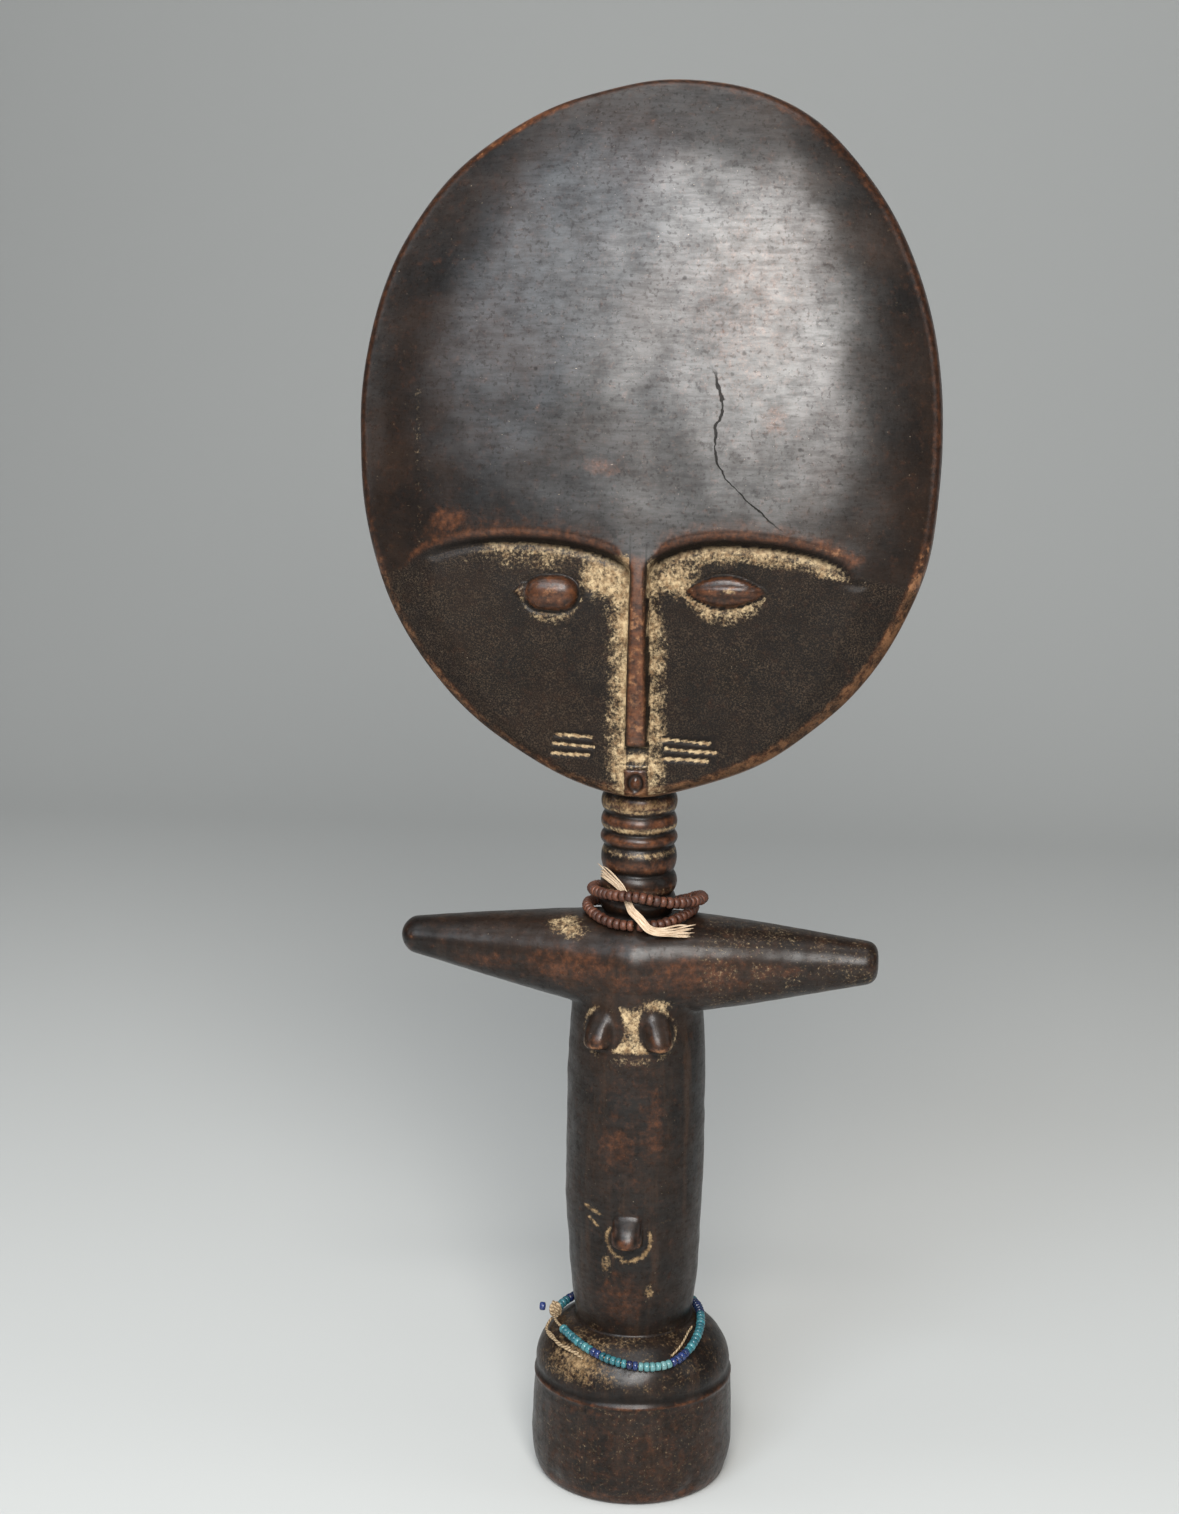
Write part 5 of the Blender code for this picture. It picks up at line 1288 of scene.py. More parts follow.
def wood_material():
    """Near-black stained wood with a hand-worn shine. Edges are rubbed through to reddish brown,
    pigment is caught in the cuts, and dust lies in the fine pores. Shade is painted near-black
    into grooves and undercuts, under the brows, nose and chin, and into the crack and the pits."""
    material, tree, shader = new_material("carved dark wood")
    where = object_place(tree)
    marks = {name: read_mark(tree, name) for name in WOOD_MARKS}
    patches, knife_cut = patchy_group(), carved_surface_group()
    surface = group_node(tree, knife_cut, Coordinates=where, Facets=0.5, Scratches=0.40, Pores=0.20)
    scratches = surface.outputs["Tone"]
    cloud = noise(tree, where, 42.0, 6.0, 0.66)
    streaks = noise(tree, where, 260.0, 5.0, 0.65, (1.0, 1.0, 0.10))
    stain = blend_colours(tree, between(tree, cloud, 0.35, 0.70), STAIN_BLACK, STAIN_BROWN)
    lines = product(tree, between(tree, streaks, 0.50, 0.72), marks["grain"], 0.55)
    stain = blend_colours(tree, lines, stain, STREAK_BROWN)
    share = between(tree, noise(tree, where, 620.0, 5.0, 0.65), 0.35, 0.68)
    brown = blend_colours(tree, share, RUBBED_DARK, RUBBED_RED)
    rubbed = calculate(tree, "MAXIMUM", marks["rust"], marks["wear"])
    rubbed = group_node(tree, patches, Coordinates=where, Amount=rubbed, Scale=520.0, Softness=0.52)
    colour = blend_colours(tree, rubbed.outputs["Mask"], stain, brown)
    bright = product(tree, marks["wear"], 0.60)
    bright = group_node(tree, patches, Coordinates=where, Amount=bright, Scale=520.0, Softness=0.16)
    colour = blend_colours(tree, bright.outputs["Mask"], colour, BARE_WOOD)
    grit = between(tree, noise(tree, where, 2600.0, 3.0, 0.7), 0.44, 0.66)
    mottle = between(tree, noise(tree, where, 170.0, 5.0, 0.68), 0.36, 0.64, 0.30, 0.80)
    gritty = blend_colours(tree, grit, GRIT_DARK, GRIT_PALE)
    colour = blend_colours(tree, product(tree, marks["cheek"], mottle), colour, gritty)
    fleck = between(tree, noise(tree, where, 1700.0, 2.0, 0.5), 0.735, 0.775)
    fleck = product(tree, fleck, between(tree, noise(tree, where, 90.0, 3.0), 0.45, 0.6), 0.7)
    colour = blend_colours(tree, fleck, colour, DUST)
    dark = product(tree, marks["dark"], 0.92)
    spread = between(tree, noise(tree, where, 210.0, 4.0), 0.3, 0.7, -0.20, 0.12)
    amount = calculate(tree, "MINIMUM", product(tree, marks["pigment"], 3.0), 1.0)
    amount = calculate(tree, "MULTIPLY_ADD", spread, amount, marks["pigment"])
    chalk = group_node(tree, patches, Coordinates=where, Amount=amount, Scale=1400.0, Softness=0.30)
    clean = calculate(tree, "MULTIPLY_ADD", marks["dark"], -0.90, 0.90)
    pigment = product(tree, chalk.outputs["Mask"], clean)
    share = between(tree, noise(tree, where, 620.0, 4.0), 0.32, 0.68)
    cream = blend_colours(tree, share, CREAM_WORN, CREAM)
    earth = blend_colours(tree, share, OCHRE_WORN, OCHRE)
    # Painted shade: where the dark mark is, the colour goes towards near-black.
    colour = blend_colours(tree, dark, colour, PAINTED_SHADE)
    colour = blend_colours(tree, pigment, colour, blend_colours(tree, marks["ochre"], cream, earth))
    middle = tuple(head_to_world(np.array(0.0), np.array(0.0), np.array(0.0)))
    lean = {"Vector": where, "Location": middle, "Rotation": (-HEAD_TILT, 0.0, 0.0)}
    place = place_node(tree, "ShaderNodeMapping", {"vector_type": "TEXTURE"}, **lean).outputs[0]
    crack = crack_line(tree, place)
    flatten = {"_0": place, "_1": (1.0, 0.0, 1.0)}
    flat_place = place_node(tree, "ShaderNodeVectorMath", {"operation": "MULTIPLY"}, **flatten).outputs[0]
    for side, level in PITS:
        ends = {"_0": flat_place, "_1": (side, 0.0, level)}
        gap = place_node(tree, "ShaderNodeVectorMath", {"operation": "DISTANCE"}, **ends).outputs["Value"]
        crack = calculate(tree, "MAXIMUM", crack, between(tree, gap, 0.0002, 0.0007, 0.55, 0.0))
    # Painted shade: the crack and the pits are painted near-black.
    colour = blend_colours(tree, product(tree, crack, 0.9), colour, CRACK_BLACK)
    rough = between(tree, marks["polish"], 0.0, 1.0, 0.70, 0.42, kind="LINEAR")
    rough = calculate(tree, "MULTIPLY_ADD", calculate(tree, "SUBTRACT", cloud, 0.5), 0.30, rough)
    rough = calculate(tree, "MULTIPLY_ADD", calculate(tree, "SUBTRACT", scratches, 0.6), 0.22, rough)
    matt = calculate(tree, "MAXIMUM", product(tree, pigment, 0.9), product(tree, dark, 0.6))
    rough = calculate(tree, "MAXIMUM", rough, matt, clamp=True)
    wax = product(
        tree,
        between(tree, noise(tree, where, 150.0, 8.0, 0.74), 0.32, 0.62, 0.55, 1.0),
        between(tree, scratches, 0.50, 0.74, 1.0, 0.66),
        between(tree, marks["polish"], 0.1, 1.0, 0.06, 0.95, kind="LINEAR"),
        between(tree, noise(tree, where, 980.0, 3.0, 0.6), 0.55, 0.66, 1.0, 0.55),
        calculate(tree, "SUBTRACT", 1.0, matt),
        calculate(tree, "SUBTRACT", 1.0, crack),
    )
    tree.links.new(wax, shader.inputs["Coat Weight"])
    shader.inputs["Coat Roughness"].default_value = WAX_ROUGHNESS
    shader.inputs["Specular IOR Level"].default_value = WOOD_SPECULAR
    height = calculate(tree, "MULTIPLY_ADD", pigment, 0.30, surface.outputs["Height"])
    height = calculate(tree, "MULTIPLY_ADD", crack, -1.2, height)
    height = calculate(tree, "MULTIPLY_ADD", product(tree, grit, marks["cheek"]), 0.22, height)
    feed(tree, shader, colour, rough, height, 0.55, 0.0004)
    return material


carved_figure = join_forms(torso_form, [arm_form, neck_form, head_form])
soften_joints(carved_figure)
mark_figure(carved_figure.data)
carved_figure.data.materials.clear()
carved_figure.data.materials.append(wood_material())
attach(carved_figure, "root")
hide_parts("figure")

# Necklace
# Squat seed beads cut from reddish-brown nut shell, on one thin dark cord that goes round the neck
# twice. One turn lies on the shoulders and the other on it. They change places behind the neck, and
# the string's ends meet in front.
CLEARANCE = 0.0003
NECKLACE_BEAD_DIAMETER = 0.0028
NECKLACE_BEAD_PITCH = 0.00165
NECKLACE_CORD_DIAMETER = 0.0006
NECKLACE_HOLE_RADIUS = 0.0004
NECKLACE_SEED = 21
FIRST_TURN_SLACK, SECOND_TURN_SLACK = 0.0020, 0.0025
FIRST_TURN_SIDE, SECOND_TURN_SIDE = 0.0005, 0.0022
FIRST_TURN_BACK, SECOND_TURN_BACK = 0.0009, 0.0007
SECOND_TURN_FRONT_LIFT = 0.0045
SECOND_TURN_LEAN = 0.0007
SECOND_TURN_NARROWNESS = 4
NECKLACE_CROSSING_DEG = 62
NECKLACE_CROSSING_REACH_DEG = 40
NECKLACE_START_DEG, NECKLACE_STOP_DEG = -88, 629
NECKLACE_STEP_DEG = 1.5
SHELL_DARK, SHELL_PALE = (0.055, 0.017, 0.0085, 1), (0.135, 0.045, 0.021, 1)
SHELL_PORE = (0.018, 0.007, 0.0045, 1)
DARK_CORD = (0.012, 0.008, 0.006, 1), (0.060, 0.036, 0.022, 1)


def shoulder_height(x, y):
    """Height of the arms' upper side over places, or of their axis beside them."""
    half_height, half_depth, axis, corner = arm_section(x)
    across = np.clip(np.abs(y) / np.maximum(half_depth, 1e-6), 0.0, 1.0)
    return axis + half_height * (1 - across**corner) ** (1 / corner)


def rest_height(surface, x, y, radius):
    """Height of the centre of a ball that rests on a surface: the highest of the surface plus the
    ball's own underside, over the ball's shadow."""
    highest = surface(x, y) + radius
    for reach in (0.35, 0.7, 0.95):
        for turn in np.arange(12) / 12 * 2 * math.pi:
            px, py = x + radius * reach * math.cos(turn), y + radius * reach * math.sin(turn)
            highest = np.maximum(highest, surface(px, py) + radius * math.sqrt(1 - reach**2))
    return highest


def necklace_turn(turn_deg, level):
    """Points of the necklace at angles round the neck. Level 0 lies on the shoulders, and level 1 is
    the second turn: it lies on the first, and its front is held up by the tie."""
    bead = NECKLACE_BEAD_DIAMETER / 2
    slack = FIRST_TURN_SLACK + (SECOND_TURN_SLACK - FIRST_TURN_SLACK) * level
    radius = NECK_RADIUS + bead + CLEARANCE + slack
    turn = np.radians(turn_deg)
    x = FIRST_TURN_SIDE + (SECOND_TURN_SIDE - FIRST_TURN_SIDE) * level + radius * np.cos(turn)
    y = FIRST_TURN_BACK + (SECOND_TURN_BACK - FIRST_TURN_BACK) * level + radius * np.sin(turn)
    low = rest_height(shoulder_height, x, y, bead) + CLEARANCE
    front = (0.5 - 0.5 * np.sin(turn)) ** SECOND_TURN_NARROWNESS
    lift = SECOND_TURN_FRONT_LIFT * front - SECOND_TURN_LEAN * np.cos(turn)
    return np.stack([x, y, low + (lift + NECKLACE_BEAD_DIAMETER + CLEARANCE) * level], axis=-1)


def necklace_route(turn_deg):
    """The two turns in one line. Where they change places, one passes inside the other."""
    beyond = turn_deg - NECKLACE_CROSSING_DEG + NECKLACE_CROSSING_REACH_DEG
    first = ramp(beyond / (2 * NECKLACE_CROSSING_REACH_DEG))
    second = ramp((beyond - 360) / (2 * NECKLACE_CROSSING_REACH_DEG))
    outward = outward_ways(np.radians(turn_deg))
    passing = 4 * (second * (1 - second) - first * (1 - first))
    aside = passing[:, None] * (NECKLACE_BEAD_DIAMETER / 2 + CLEARANCE)
    return necklace_turn(turn_deg, first - second) + outward * aside


def run_along(route):
    """How far along a route of points each of them is."""
    return np.concatenate([[0.0], np.cumsum(np.linalg.norm(np.diff(route, axis=0), axis=1))])


def unit(ways):
    """Ways brought to a length of 1."""
    return ways / np.linalg.norm(ways, axis=-1, keepdims=True)


def spaced(route, pitch):
    """(places, directions) a pitch apart along a route of points."""
    total = run_along(route)
    count = int(total[-1] / pitch)
    marks = (np.arange(count) + 0.5) * total[-1] / count
    before, place, after = (
        np.stack([np.interp(marks + step, total, route[:, k]) for k in range(3)], axis=-1)
        for step in (-pitch / 2, 0.0, pitch / 2)
    )
    return place, unit(after - before)


def across_axes(ways, hint=(0.13, 0.07, 1.0)):
    """Two directions square to each way, that turn right-handed about it."""
    aside = unit(np.cross(np.broadcast_to(hint, ways.shape), ways))
    return aside, np.cross(ways, aside)


def spokes(ways, count):
    """Unit vectors evenly round each way, as a wheel's spokes on it."""
    aside, other = (side[:, None, :] for side in across_axes(ways))
    turns = even_turns(count)[:, None]
    return np.cos(turns) * aside + np.sin(turns) * other


def bead_string(name, places, ways, radius, hole, thickness, seed, sectors=10, corners=8):
    """Beads as rings with a squarish section: at a sector's angle the section goes round a point
    between hole and outside, by cosine and sine to a power. Each has its own size and tilt."""
    draw = np.random.default_rng(seed)
    count = len(places)
    ways = unit(ways + draw.normal(0.0, 0.07, (count, 3)))
    size = (radius * draw.uniform(0.92, 1.03, count))[:, None]
    thick = (thickness * draw.uniform(0.86, 1.05, count))[:, None]
    c, s = (signed_power(wave(even_turns(corners)), 0.75) for wave in (np.cos, np.sin))
    out = (size + hole) / 2 + (size - hole) / 2 * c
    along = thick / 2 * s
    points = places[:, None, None, :] + out[:, :, None, None] * spokes(ways, sectors)[:, None]
    points = points + along[:, :, None, None] * ways[:, None, None, :]
    r, q = np.meshgrid(np.arange(corners), np.arange(sectors), indexing="ij")
    here, there, after = r * sectors, (r + 1) % corners * sectors, (q + 1) % sectors
    ring = np.stack([here + q, here + after, there + after, there + q], axis=-1)
    faces = ring.reshape(1, -1, 4) + (np.arange(count) * sectors * corners)[:, None, None]
    piece = new_piece(name, points, faces.reshape(-1, 4).tolist())
    mark(piece.data, "tone", np.repeat(draw.uniform(0.0, 1.0, count), sectors * corners))
    return piece


def mark_lay(piece, lays):
    """Keeps how each point of a piece lies round and along its thread or fibre."""
    layer = piece.data.attributes.new("lay", "FLOAT_VECTOR", "POINT")
    layer.data.foreach_set("vector", np.concatenate(lays).astype(np.float32).ravel())


def cord_piece(name, cords, sectors=8):
    """One mesh of several closed round cords, given as (route, radius): a circle on its own plane
    square to the route at each point. Each point keeps its lay in millimetres, for the twist."""
    points, faces, lays = [], [], []
    turns = even_turns(sectors)
    for route, radius in cords:
        rings = route[:, None, :] + spokes(unit(np.gradient(route, axis=0)), sectors) * radius
        more, sides = closed_tube(rings, route[0], route[-1], sum(len(p) for p in points))
        along = run_along(route) * 1000
        lay = np.stack(np.broadcast_arrays(np.cos(turns), np.sin(turns), along[:, None]), axis=-1)
        points.append(more)
        faces += sides
        lays.append(np.concatenate([lay.reshape(-1, 3), [(1, 0, 0), (1, 0, along[-1])]]))
    piece = new_piece(name, np.concatenate(points), faces)
    mark_lay(piece, lays)
    return piece


def shell_bead_material():
    """Reddish-brown nut shell, turned and rubbed to a dull shine: fine grain rings, darker pores and
    a different tone on each bead."""
    material, tree, shader = new_material("brown shell beads")
    grain = noise(tree, object_place(tree), 1400.0, 4.0, 0.65)
    colour = blend_colours(tree, read_mark(tree, "tone"), SHELL_DARK, SHELL_PALE)
    colour = blend_colours(tree, between(tree, grain, 0.30, 0.62, 0.75, 0.0), colour, SHELL_PORE)
    feed(tree, shader, colour, between(tree, grain, 0.3, 0.7, 0.62, 0.40), grain, 0.35)
    return material


def thread_material(name, dark, pale):
    """Spun thread: slanting strands from the lay round and along it, with loose fibres."""
    material, tree, shader = new_material(name)
    parts = place_node(tree, "ShaderNodeSeparateXYZ", Vector=read_mark(tree, "lay", "Vector")).outputs
    turn = calculate(tree, "ARCTAN2", parts["Y"], parts["X"])
    strands = calculate(tree, "MULTIPLY_ADD", parts["Z"], 5.0, product(tree, turn, 2.0))
    strands = calculate(tree, "MULTIPLY_ADD", calculate(tree, "SINE", strands), 0.5, 0.5)
    fibres = noise(tree, object_place(tree), 5200.0, 3.0, 0.7)
    share = calculate(tree, "MULTIPLY_ADD", fibres, 0.6, product(tree, strands, 0.4))
    colour = blend_colours(tree, between(tree, share, 0.25, 0.75), dark, pale)
    shader.inputs["Roughness"].default_value = 0.85
    shader.inputs["Specular IOR Level"].default_value = 0.25
    feed(tree, shader, colour, None, share, 0.6)
    return material


necklace_line = necklace_route(np.arange(NECKLACE_START_DEG, NECKLACE_STOP_DEG + 1, NECKLACE_STEP_DEG))
necklace_beads = bead_string(
    "necklace_beads", *spaced(necklace_line, NECKLACE_BEAD_PITCH), NECKLACE_BEAD_DIAMETER / 2,
    NECKLACE_HOLE_RADIUS, NECKLACE_BEAD_PITCH, NECKLACE_SEED
)
necklace_beads.data.materials.append(shell_bead_material())
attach(necklace_beads, "root")
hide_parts("necklace")
necklace_cord = cord_piece("necklace_cord", [(necklace_line, NECKLACE_CORD_DIAMETER / 2)], 6)
necklace_cord.data.materials.append(thread_material("dark cord", *DARK_CORD))
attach(necklace_cord, "root")

# Raffia tie
# A dry strip of raffia leaf that holds the necklace's turns together in front. It is split into
# fibres lengthwise, and both ends are frayed and spread.
RAFFIA_THICKNESS = 0.0005
RAFFIA_WIDTH = 0.0018
RAFFIA_END_WIDTH = 0.0038
RAFFIA_LEAN = math.radians(48)
RAFFIA_FIBRES = 11
RAFFIA_FIBRE_WIDTH = 0.00052
RAFFIA_FIBRE_THICKNESS = 0.00015
RAFFIA_LAY = 20
RAFFIA_SEED = 31
RAFFIA_BROWN, RAFFIA_PALE = (0.30, 0.185, 0.105, 1), (0.66, 0.52, 0.37, 1)
RAFFIA_FLECK = (0.13, 0.065, 0.035, 1)
RAFFIA_STATIONS = (
    (-158, 1, -0.50, 4.00, 0.0, 1.0), (-146, 1, -0.66, 3.50, 0.0, 0.85), (-136, 1, -0.78, 2.80, 0.0, 0.6),
    (-126, 1, -0.86, 2.00, 0.0, 0.35), (-118, 1, -0.94, 1.20, 0.0, 0.15), (-113, 1, -1.02, 0.00, 0.0, 0.0),
    (-106, 1, -0.75, -1.60, 0.0, 0.0), (-94, 0, 0.10, 2.65, 0.1, 0.0), (-87.5, 0, 0.55, 1.90, 0.2, 0.0),
    (-83, 0, 1.02, 1.20, 0.2, 0.0), (-80, 0, 1.20, 0.50, 0.1, 0.0), (-77, 0, 1.25, -0.10, 0.2, 0.0),
    (-72, 0, 1.25, -0.55, 0.5, 0.05), (-62, 0, 1.35, -0.95, 0.9, 0.35), (-51.5, 0, 1.45, -1.35, 1.0, 0.7),
    (-42, 0, 1.80, -1.62, 1.0, 0.9), (-34.5, 0, 2.45, -1.74, 1.0, 1.0),
)


def raffia_line(rows=120):
    """(points, facings, flare) closely spaced along the strip, read between the stations and evened
    out. Each station is an angle round the neck, a turn, and how far out and up from that turn."""
    turn_deg, level, out, up, lean, flare = np.array(RAFFIA_STATIONS).T
    bead = NECKLACE_BEAD_DIAMETER / 2
    outward = outward_ways(np.radians(turn_deg))
    off = bead + CLEARANCE + RAFFIA_THICKNESS / 2
    points = necklace_turn(turn_deg, level) + outward * (off * out)[:, None]
    points[:, 2] += bead * up
    facings = outward * np.cos(RAFFIA_LEAN * lean)[:, None]
    facings[:, 2] = np.sin(RAFFIA_LEAN * lean)
    total = run_along(points)
    marks = np.linspace(0.0, total[-1], rows)
    columns = np.concatenate([points, facings, flare[:, None]], axis=1)
    fine = np.stack([np.interp(marks, total, column) for column in columns.T], axis=-1)
    for _ in range(10):
        fine[1:-1] = 0.5 * fine[1:-1] + 0.25 * (fine[:-2] + fine[2:])
    return fine[:, :3], fine[:, 3:6], fine[:, 6]


def raffia_fibres():
    """Flat closed fibres side by side. Towards the ends each drifts off by its own slow waves and
    stops at its own length."""
    draw = np.random.default_rng(RAFFIA_SEED)
    line, facings, flare = raffia_line()
    ways = unit(np.gradient(line, axis=0))
    facings = unit(facings - (facings * ways).sum(axis=1)[:, None] * ways)
    across = np.cross(facings, ways)
    share = np.linspace(0.0, 1.0, len(line))
    steps = np.arange(len(line))
    c, s = np.cos(even_turns(6)), np.sin(even_turns(6))
    points, faces, lays = [], [], []
    for fibre in range(RAFFIA_FIBRES):
        lane = (fibre - (RAFFIA_FIBRES - 1) / 2) / (RAFFIA_FIBRES - 1)
        width = RAFFIA_WIDTH + (RAFFIA_END_WIDTH - RAFFIA_WIDTH) * flare
        phase, speed, reach = draw.uniform(0, 6.3), draw.uniform(9, 20), draw.uniform(0.2, 1.0)
        drift = np.sin(share * speed + phase) * (0.06 + 0.22 * flare * reach)
        off = width * (lane * (1 - RAFFIA_FIBRE_WIDTH / RAFFIA_WIDTH * 0.5) + drift * 0.5)
        curl = 0.0007 * flare**2 * draw.uniform(-0.2, 1.0) * np.sin(share * 6 + phase)
        lift = 0.00010 * (-1) ** fibre + curl
        first, last = int(draw.integers(0, 14)), len(line) - int(draw.integers(0, 12))
        middle = line + across * off[:, None] + facings * lift[:, None]
        taper = np.clip(np.minimum(steps - first + 1, last - steps) / 7, 0.15, 1.0)
        wide = RAFFIA_FIBRE_WIDTH / 2 * draw.uniform(0.7, 1.25) * taper
        flat = c[:, None] * across[:, None, :] * wide[:, None, None]
        thick = s[:, None] * facings[:, None, :] * RAFFIA_FIBRE_THICKNESS / 2
        rings = (middle[:, None, :] + flat + thick)[first:last]
        more, sides = closed_tube(rings, middle[first], middle[last - 1], sum(len(p) for p in points))
        lay = np.broadcast_arrays(fibre + c * 0.3, share[first:last, None] * RAFFIA_LAY, 0.0)
        points.append(more)
        faces += sides
        ends = [(fibre, 0, 0), (fibre, RAFFIA_LAY, 0)]
        lays.append(np.concatenate([np.stack(lay, axis=-1).reshape(-1, 3), ends]))
    piece = new_piece("raffia_strip", np.concatenate(points), faces)
    mark_lay(piece, lays)
    return piece


def raffia_material():
    """Dry leaf fibre: long pale and brown streaks that follow each fibre, a few dark flecks."""
    material, tree, shader = new_material("dry raffia")
    lay = read_mark(tree, "lay", "Vector")
    streaks = noise(tree, lay, 1.6, 5.0, 0.7, (2.6, 0.35, 1.0))
    flecks = between(tree, noise(tree, lay, 3.0, 3.0, 0.6, (1.0, 1.2, 1.0)), 0.60, 0.72)
    colour = blend_colours(tree, between(tree, streaks, 0.32, 0.66), RAFFIA_BROWN, RAFFIA_PALE)
    colour = blend_colours(tree, product(tree, flecks, 0.7), colour, RAFFIA_FLECK)
    feed(tree, shader, colour, between(tree, streaks, 0.3, 0.7, 0.75, 0.55), streaks, 0.6)
    return material


raffia_strip = raffia_fibres()
raffia_strip.data.materials.append(raffia_material())
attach(raffia_strip, "root")
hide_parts("raffia_tie")

# Anklet
# Glass seed beads, turquoise with runs of dark blue, on a tan cotton thread round the torso's foot.
# The string is slack and lies on the base's shoulder, low at the front right.
ANKLET_BEAD_DIAMETER = 0.0023
ANKLET_BEAD_PITCH = 0.0014
ANKLET_HOLE_RADIUS = 0.0004
ANKLET_SEED = 22
ANKLET_SAG = 0.0067
ANKLET_SAG_DEG, ANKLET_SAG_LEFT_DEG, ANKLET_SAG_RIGHT_DEG = 292, 76, 45
KNOT_DIAMETER = 0.0034
ANKLET_KNOT_STAND = 0.0026
ANKLET_KNOT_STAND_DEG = 30
ANKLET_KNOT_DEG = 180
ANKLET_BARE_DEG = 212
BLUE_RUNS_DEG = (
    (246, 256), (271, 279), (302, 315), (364, 386), (402, 410), (440, 452), (486, 492), (514, 520),
)
PALE_RUNS_DEG = ((239, 245), (280, 301))
PALE_KIND, BLUE_KIND = 0.5, 1.0
TEAL_GLASS = (0.010, 0.080, 0.105, 1), (0.045, 0.190, 0.215, 1)
PALE_GLASS = (0.075, 0.230, 0.240, 1), (0.170, 0.310, 0.305, 1)
BLUE_GLASS = (0.006, 0.010, 0.050, 1), (0.014, 0.030, 0.125, 1)
GLASS_SWIRL, GLASS_DUST = (0.030, 0.060, 0.070, 1), (0.20, 0.15, 0.10, 1)


def turn_between(turn_deg, other_deg):
    """Angle from one turn to another, the short way round."""
    return (turn_deg - other_deg + 180.0) % 360.0 - 180.0


def base_shoulder_height(x, y):
    """Height of the base's dome over places."""
    return dome_height(np.hypot(x, y))


def anklet_radius(turn_deg):
    """Distance of the anklet from the axis: close to the torso's foot, slack at the front right, and
    held off a little by the knot."""
    sag = turn_between(turn_deg, ANKLET_SAG_DEG)
    sag = sag / np.where(sag < 0, ANKLET_SAG_LEFT_DEG, ANKLET_SAG_RIGHT_DEG)
    knot = turn_between(turn_deg, ANKLET_KNOT_DEG) / ANKLET_KNOT_STAND_DEG
    close = TORSO_FOOT_RADIUS + ANKLET_BEAD_DIAMETER / 2 + 2 * CLEARANCE
    return close + ANKLET_SAG * bell(sag) + ANKLET_KNOT_STAND * bell(knot)


def on_base(turn_deg, farther, radius):
    """Points at angles round the torso's foot, farther out than the anklet, where a ball of that
    radius lies on the base's dome."""
    reach = anklet_radius(turn_deg) + farther
    points = outward_ways(np.radians(turn_deg)) * reach[:, None]
    points[:, 2] = rest_height(base_shoulder_height, points[:, 0], points[:, 1], radius)
    return points


def glass_material(name, plain=None):
    """Opaque moulded glass: a colour for each kind of bead, faint swirls, specks of dust and a wet
    shine."""
    material, tree, shader = new_material(name)
    where = object_place(tree)
    swirl = between(tree, noise(tree, where, 900.0, 3.0, 0.6), 0.35, 0.68)
    if plain is None:
        tone, kind = read_mark(tree, "tone"), read_mark(tree, "kind")
        kinds = (TEAL_GLASS, PALE_GLASS, BLUE_GLASS)
        teal, pale, blue = (blend_colours(tree, tone, *glass) for glass in kinds)
        colour = blend_colours(tree, between(tree, kind, 0.2, 0.3), teal, pale)
        colour = blend_colours(tree, between(tree, kind, 0.7, 0.8), colour, blue)
    else:
        colour = blend_colours(tree, swirl, *plain)
    colour = blend_colours(tree, product(tree, swirl, 0.35), colour, GLASS_SWIRL)
    dust = between(tree, noise(tree, where, 2400.0, 3.0, 0.6), 0.60, 0.70)
    colour = blend_colours(tree, product(tree, dust, 0.5), colour, GLASS_DUST)
    feed(tree, shader, colour, calculate(tree, "MULTIPLY_ADD", dust, 0.35, 0.16), swirl, 0.12)
    return material


anklet_knot_deg = math.degrees((KNOT_DIAMETER / 2 + 2 * CLEARANCE) / anklet_radius(ANKLET_KNOT_DEG))
anklet_turn_deg = np.arange(ANKLET_BARE_DEG, ANKLET_KNOT_DEG + 360 - anklet_knot_deg, 1.5)
anklet_line = on_base(anklet_turn_deg, 0.0, ANKLET_BEAD_DIAMETER / 2) + (0, 0, CLEARANCE)
anklet_places, anklet_ways = spaced(anklet_line, ANKLET_BEAD_PITCH)
anklet_beads = bead_string(
    "anklet_beads", anklet_places, anklet_ways, ANKLET_BEAD_DIAMETER / 2, ANKLET_HOLE_RADIUS,
    ANKLET_BEAD_PITCH, ANKLET_SEED
)
bead_deg = np.degrees(np.arctan2(anklet_places[:, 1], anklet_places[:, 0])) % 360
bead_deg = np.where(bead_deg < ANKLET_BARE_DEG - 2, bead_deg + 360, bead_deg)
bead_kind = np.zeros(len(bead_deg))
for runs, kind in ((PALE_RUNS_DEG, PALE_KIND), (BLUE_RUNS_DEG, BLUE_KIND)):
    for start, stop in runs:
        bead_kind[(bead_deg >= start) & (bead_deg <= stop)] = kind
points_each = len(anklet_beads.data.vertices) // len(bead_kind)
mark(anklet_beads.data, "kind", np.repeat(bead_kind, points_each))
anklet_beads.data.materials.append(glass_material("turquoise and blue glass"))
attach(anklet_beads, "root")
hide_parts("anklet")

# Anklet thread
# The same cotton thread, bare at the left between the beads' ends. It is tied there in a tangled
# knot. Three loose strands lie on the base's shoulder outside it, and one at the front right lies
# inside the beads.
THREAD_DIAMETER = 0.0007
STRUNG_THREAD_DIAMETER = 0.00056
KNOT_HEIGHT = 0.0050
LOOSE_STRANDS = (
    (181, 238, 0.0008, 0.0016, 9.0, 1.0), (183, 243, 0.0012, 0.0011, 7.0, 0.9),
    (186, 230, 0.0017, 0.0004, 11.0, 0.8), (303, 338, -0.0018, -0.0008, 5.0, 0.8),
)
TAN_THREAD = (0.13, 0.085, 0.045, 1), (0.46, 0.34, 0.21, 1)
knot_middle = on_base(np.array([ANKLET_KNOT_DEG]), 0.0, ANKLET_BEAD_DIAMETER / 2)[0]
knot_middle += (0.0, 0.0, KNOT_DIAMETER / 2 + CLEARANCE - ANKLET_BEAD_DIAMETER / 2)


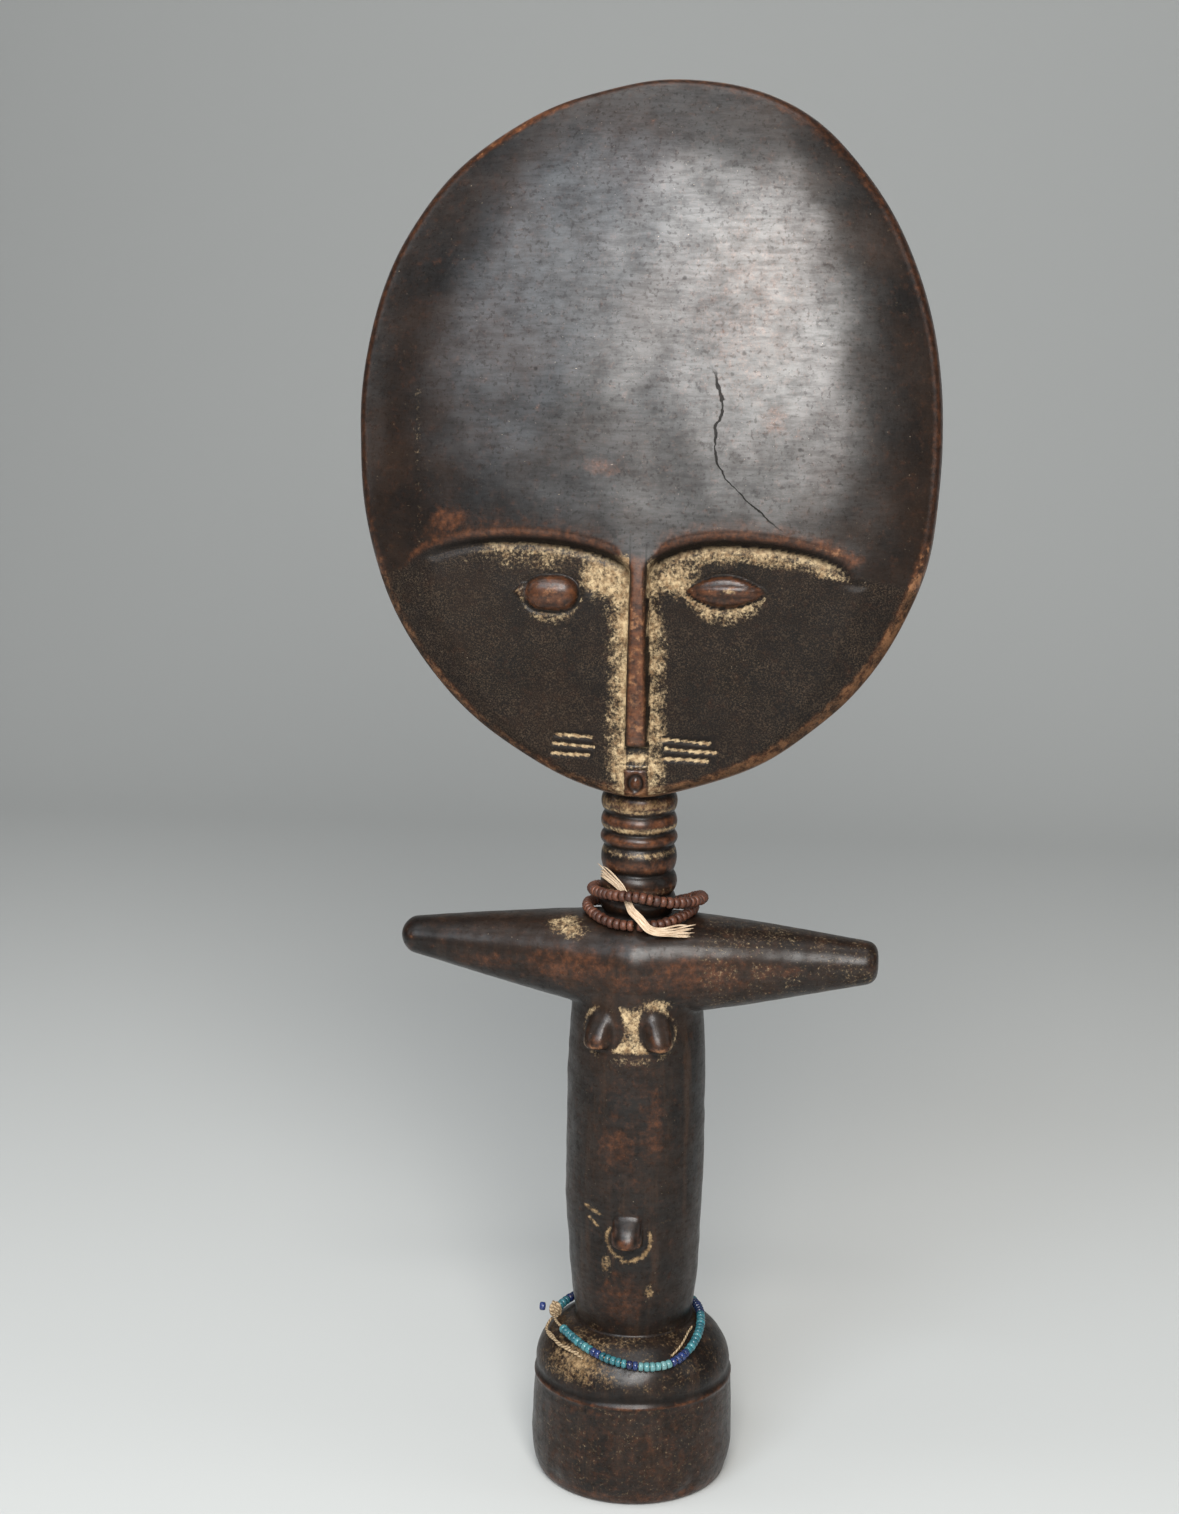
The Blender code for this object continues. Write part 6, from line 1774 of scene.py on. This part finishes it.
def knot_winding(points=420):
    """One thread wound round and round a lump: a circle whose axis turns slowly, drawn longer
    upwards, on a radius that swells and sinks."""
    t = np.linspace(0.0, 1.0, points)
    round_, lean = t * 2 * math.pi * 11, t * 2 * math.pi * 1.7
    radius = (KNOT_DIAMETER - THREAD_DIAMETER) / 2 * (0.72 + 0.28 * np.sin(t * 2 * math.pi * 4.3))
    x = radius * (np.cos(round_) * np.cos(lean) - 0.45 * np.sin(round_) * np.sin(lean))
    y = radius * (np.cos(round_) * np.sin(lean) + 0.45 * np.sin(round_) * np.cos(lean))
    z = radius * KNOT_HEIGHT / KNOT_DIAMETER * np.sin(round_) * np.cos(lean * 0.7 + 0.4)
    return knot_middle + np.stack([x, y, z], axis=-1)


def loose_strand(start_deg, stop_deg, farther, bulge, wave, points=60):
    """A strand on the dome that leaves the anklet's line, bulges out from it and comes back."""
    t = np.linspace(0.0, 1.0, points)
    turn_deg = start_deg + (stop_deg - start_deg) * t
    out = farther + bulge * np.sin(t * math.pi) + 0.0003 * np.sin(t * wave)
    route = on_base(turn_deg, out, THREAD_DIAMETER / 2)
    route[:, 2] += 0.0002 + 0.0004 * np.abs(np.sin(t * wave * 0.7))
    return route


bare_turn_deg = np.linspace(ANKLET_KNOT_DEG, ANKLET_BARE_DEG + 3, 30)
bare = on_base(bare_turn_deg, 0.0, ANKLET_BEAD_DIAMETER / 2) + (0, 0, CLEARANCE)
threads = [
    (knot_winding(), THREAD_DIAMETER / 2),
    (bare, THREAD_DIAMETER / 2),
    (anklet_line, STRUNG_THREAD_DIAMETER / 2),
]
threads += [(loose_strand(*strand), THREAD_DIAMETER / 2 * share) for *strand, share in LOOSE_STRANDS]
anklet_thread = cord_piece("anklet_thread", threads)
anklet_thread.data.materials.append(thread_material("tan cotton thread", *TAN_THREAD))
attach(anklet_thread, "root")
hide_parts("anklet_tie")

# End bead
# One dark blue glass bead of the same kind, left on the thread's cut end outside the knot.
END_BEAD_SEED = 23
END_BEAD_BLUE = (0.008, 0.016, 0.090, 1), (0.0144, 0.0288, 0.162, 1)
end_start = knot_middle - (0, 0, KNOT_DIAMETER / 2) + (0, 0, ANKLET_BEAD_DIAMETER)
end_way = np.array([[-1.0, 0.0, 0.0]])
end_place = end_start + end_way[0] * (KNOT_DIAMETER / 2 + 3 * CLEARANCE + ANKLET_BEAD_PITCH / 2)
end_bead_glass = bead_string(
    "end_bead_glass", end_place[None], end_way, ANKLET_BEAD_DIAMETER / 2, ANKLET_HOLE_RADIUS,
    ANKLET_BEAD_PITCH, END_BEAD_SEED, sectors=24, corners=14
)
end_bead_glass.data.materials.append(glass_material("dark blue glass", END_BEAD_BLUE))
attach(end_bead_glass, "root")
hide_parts("end_bead")
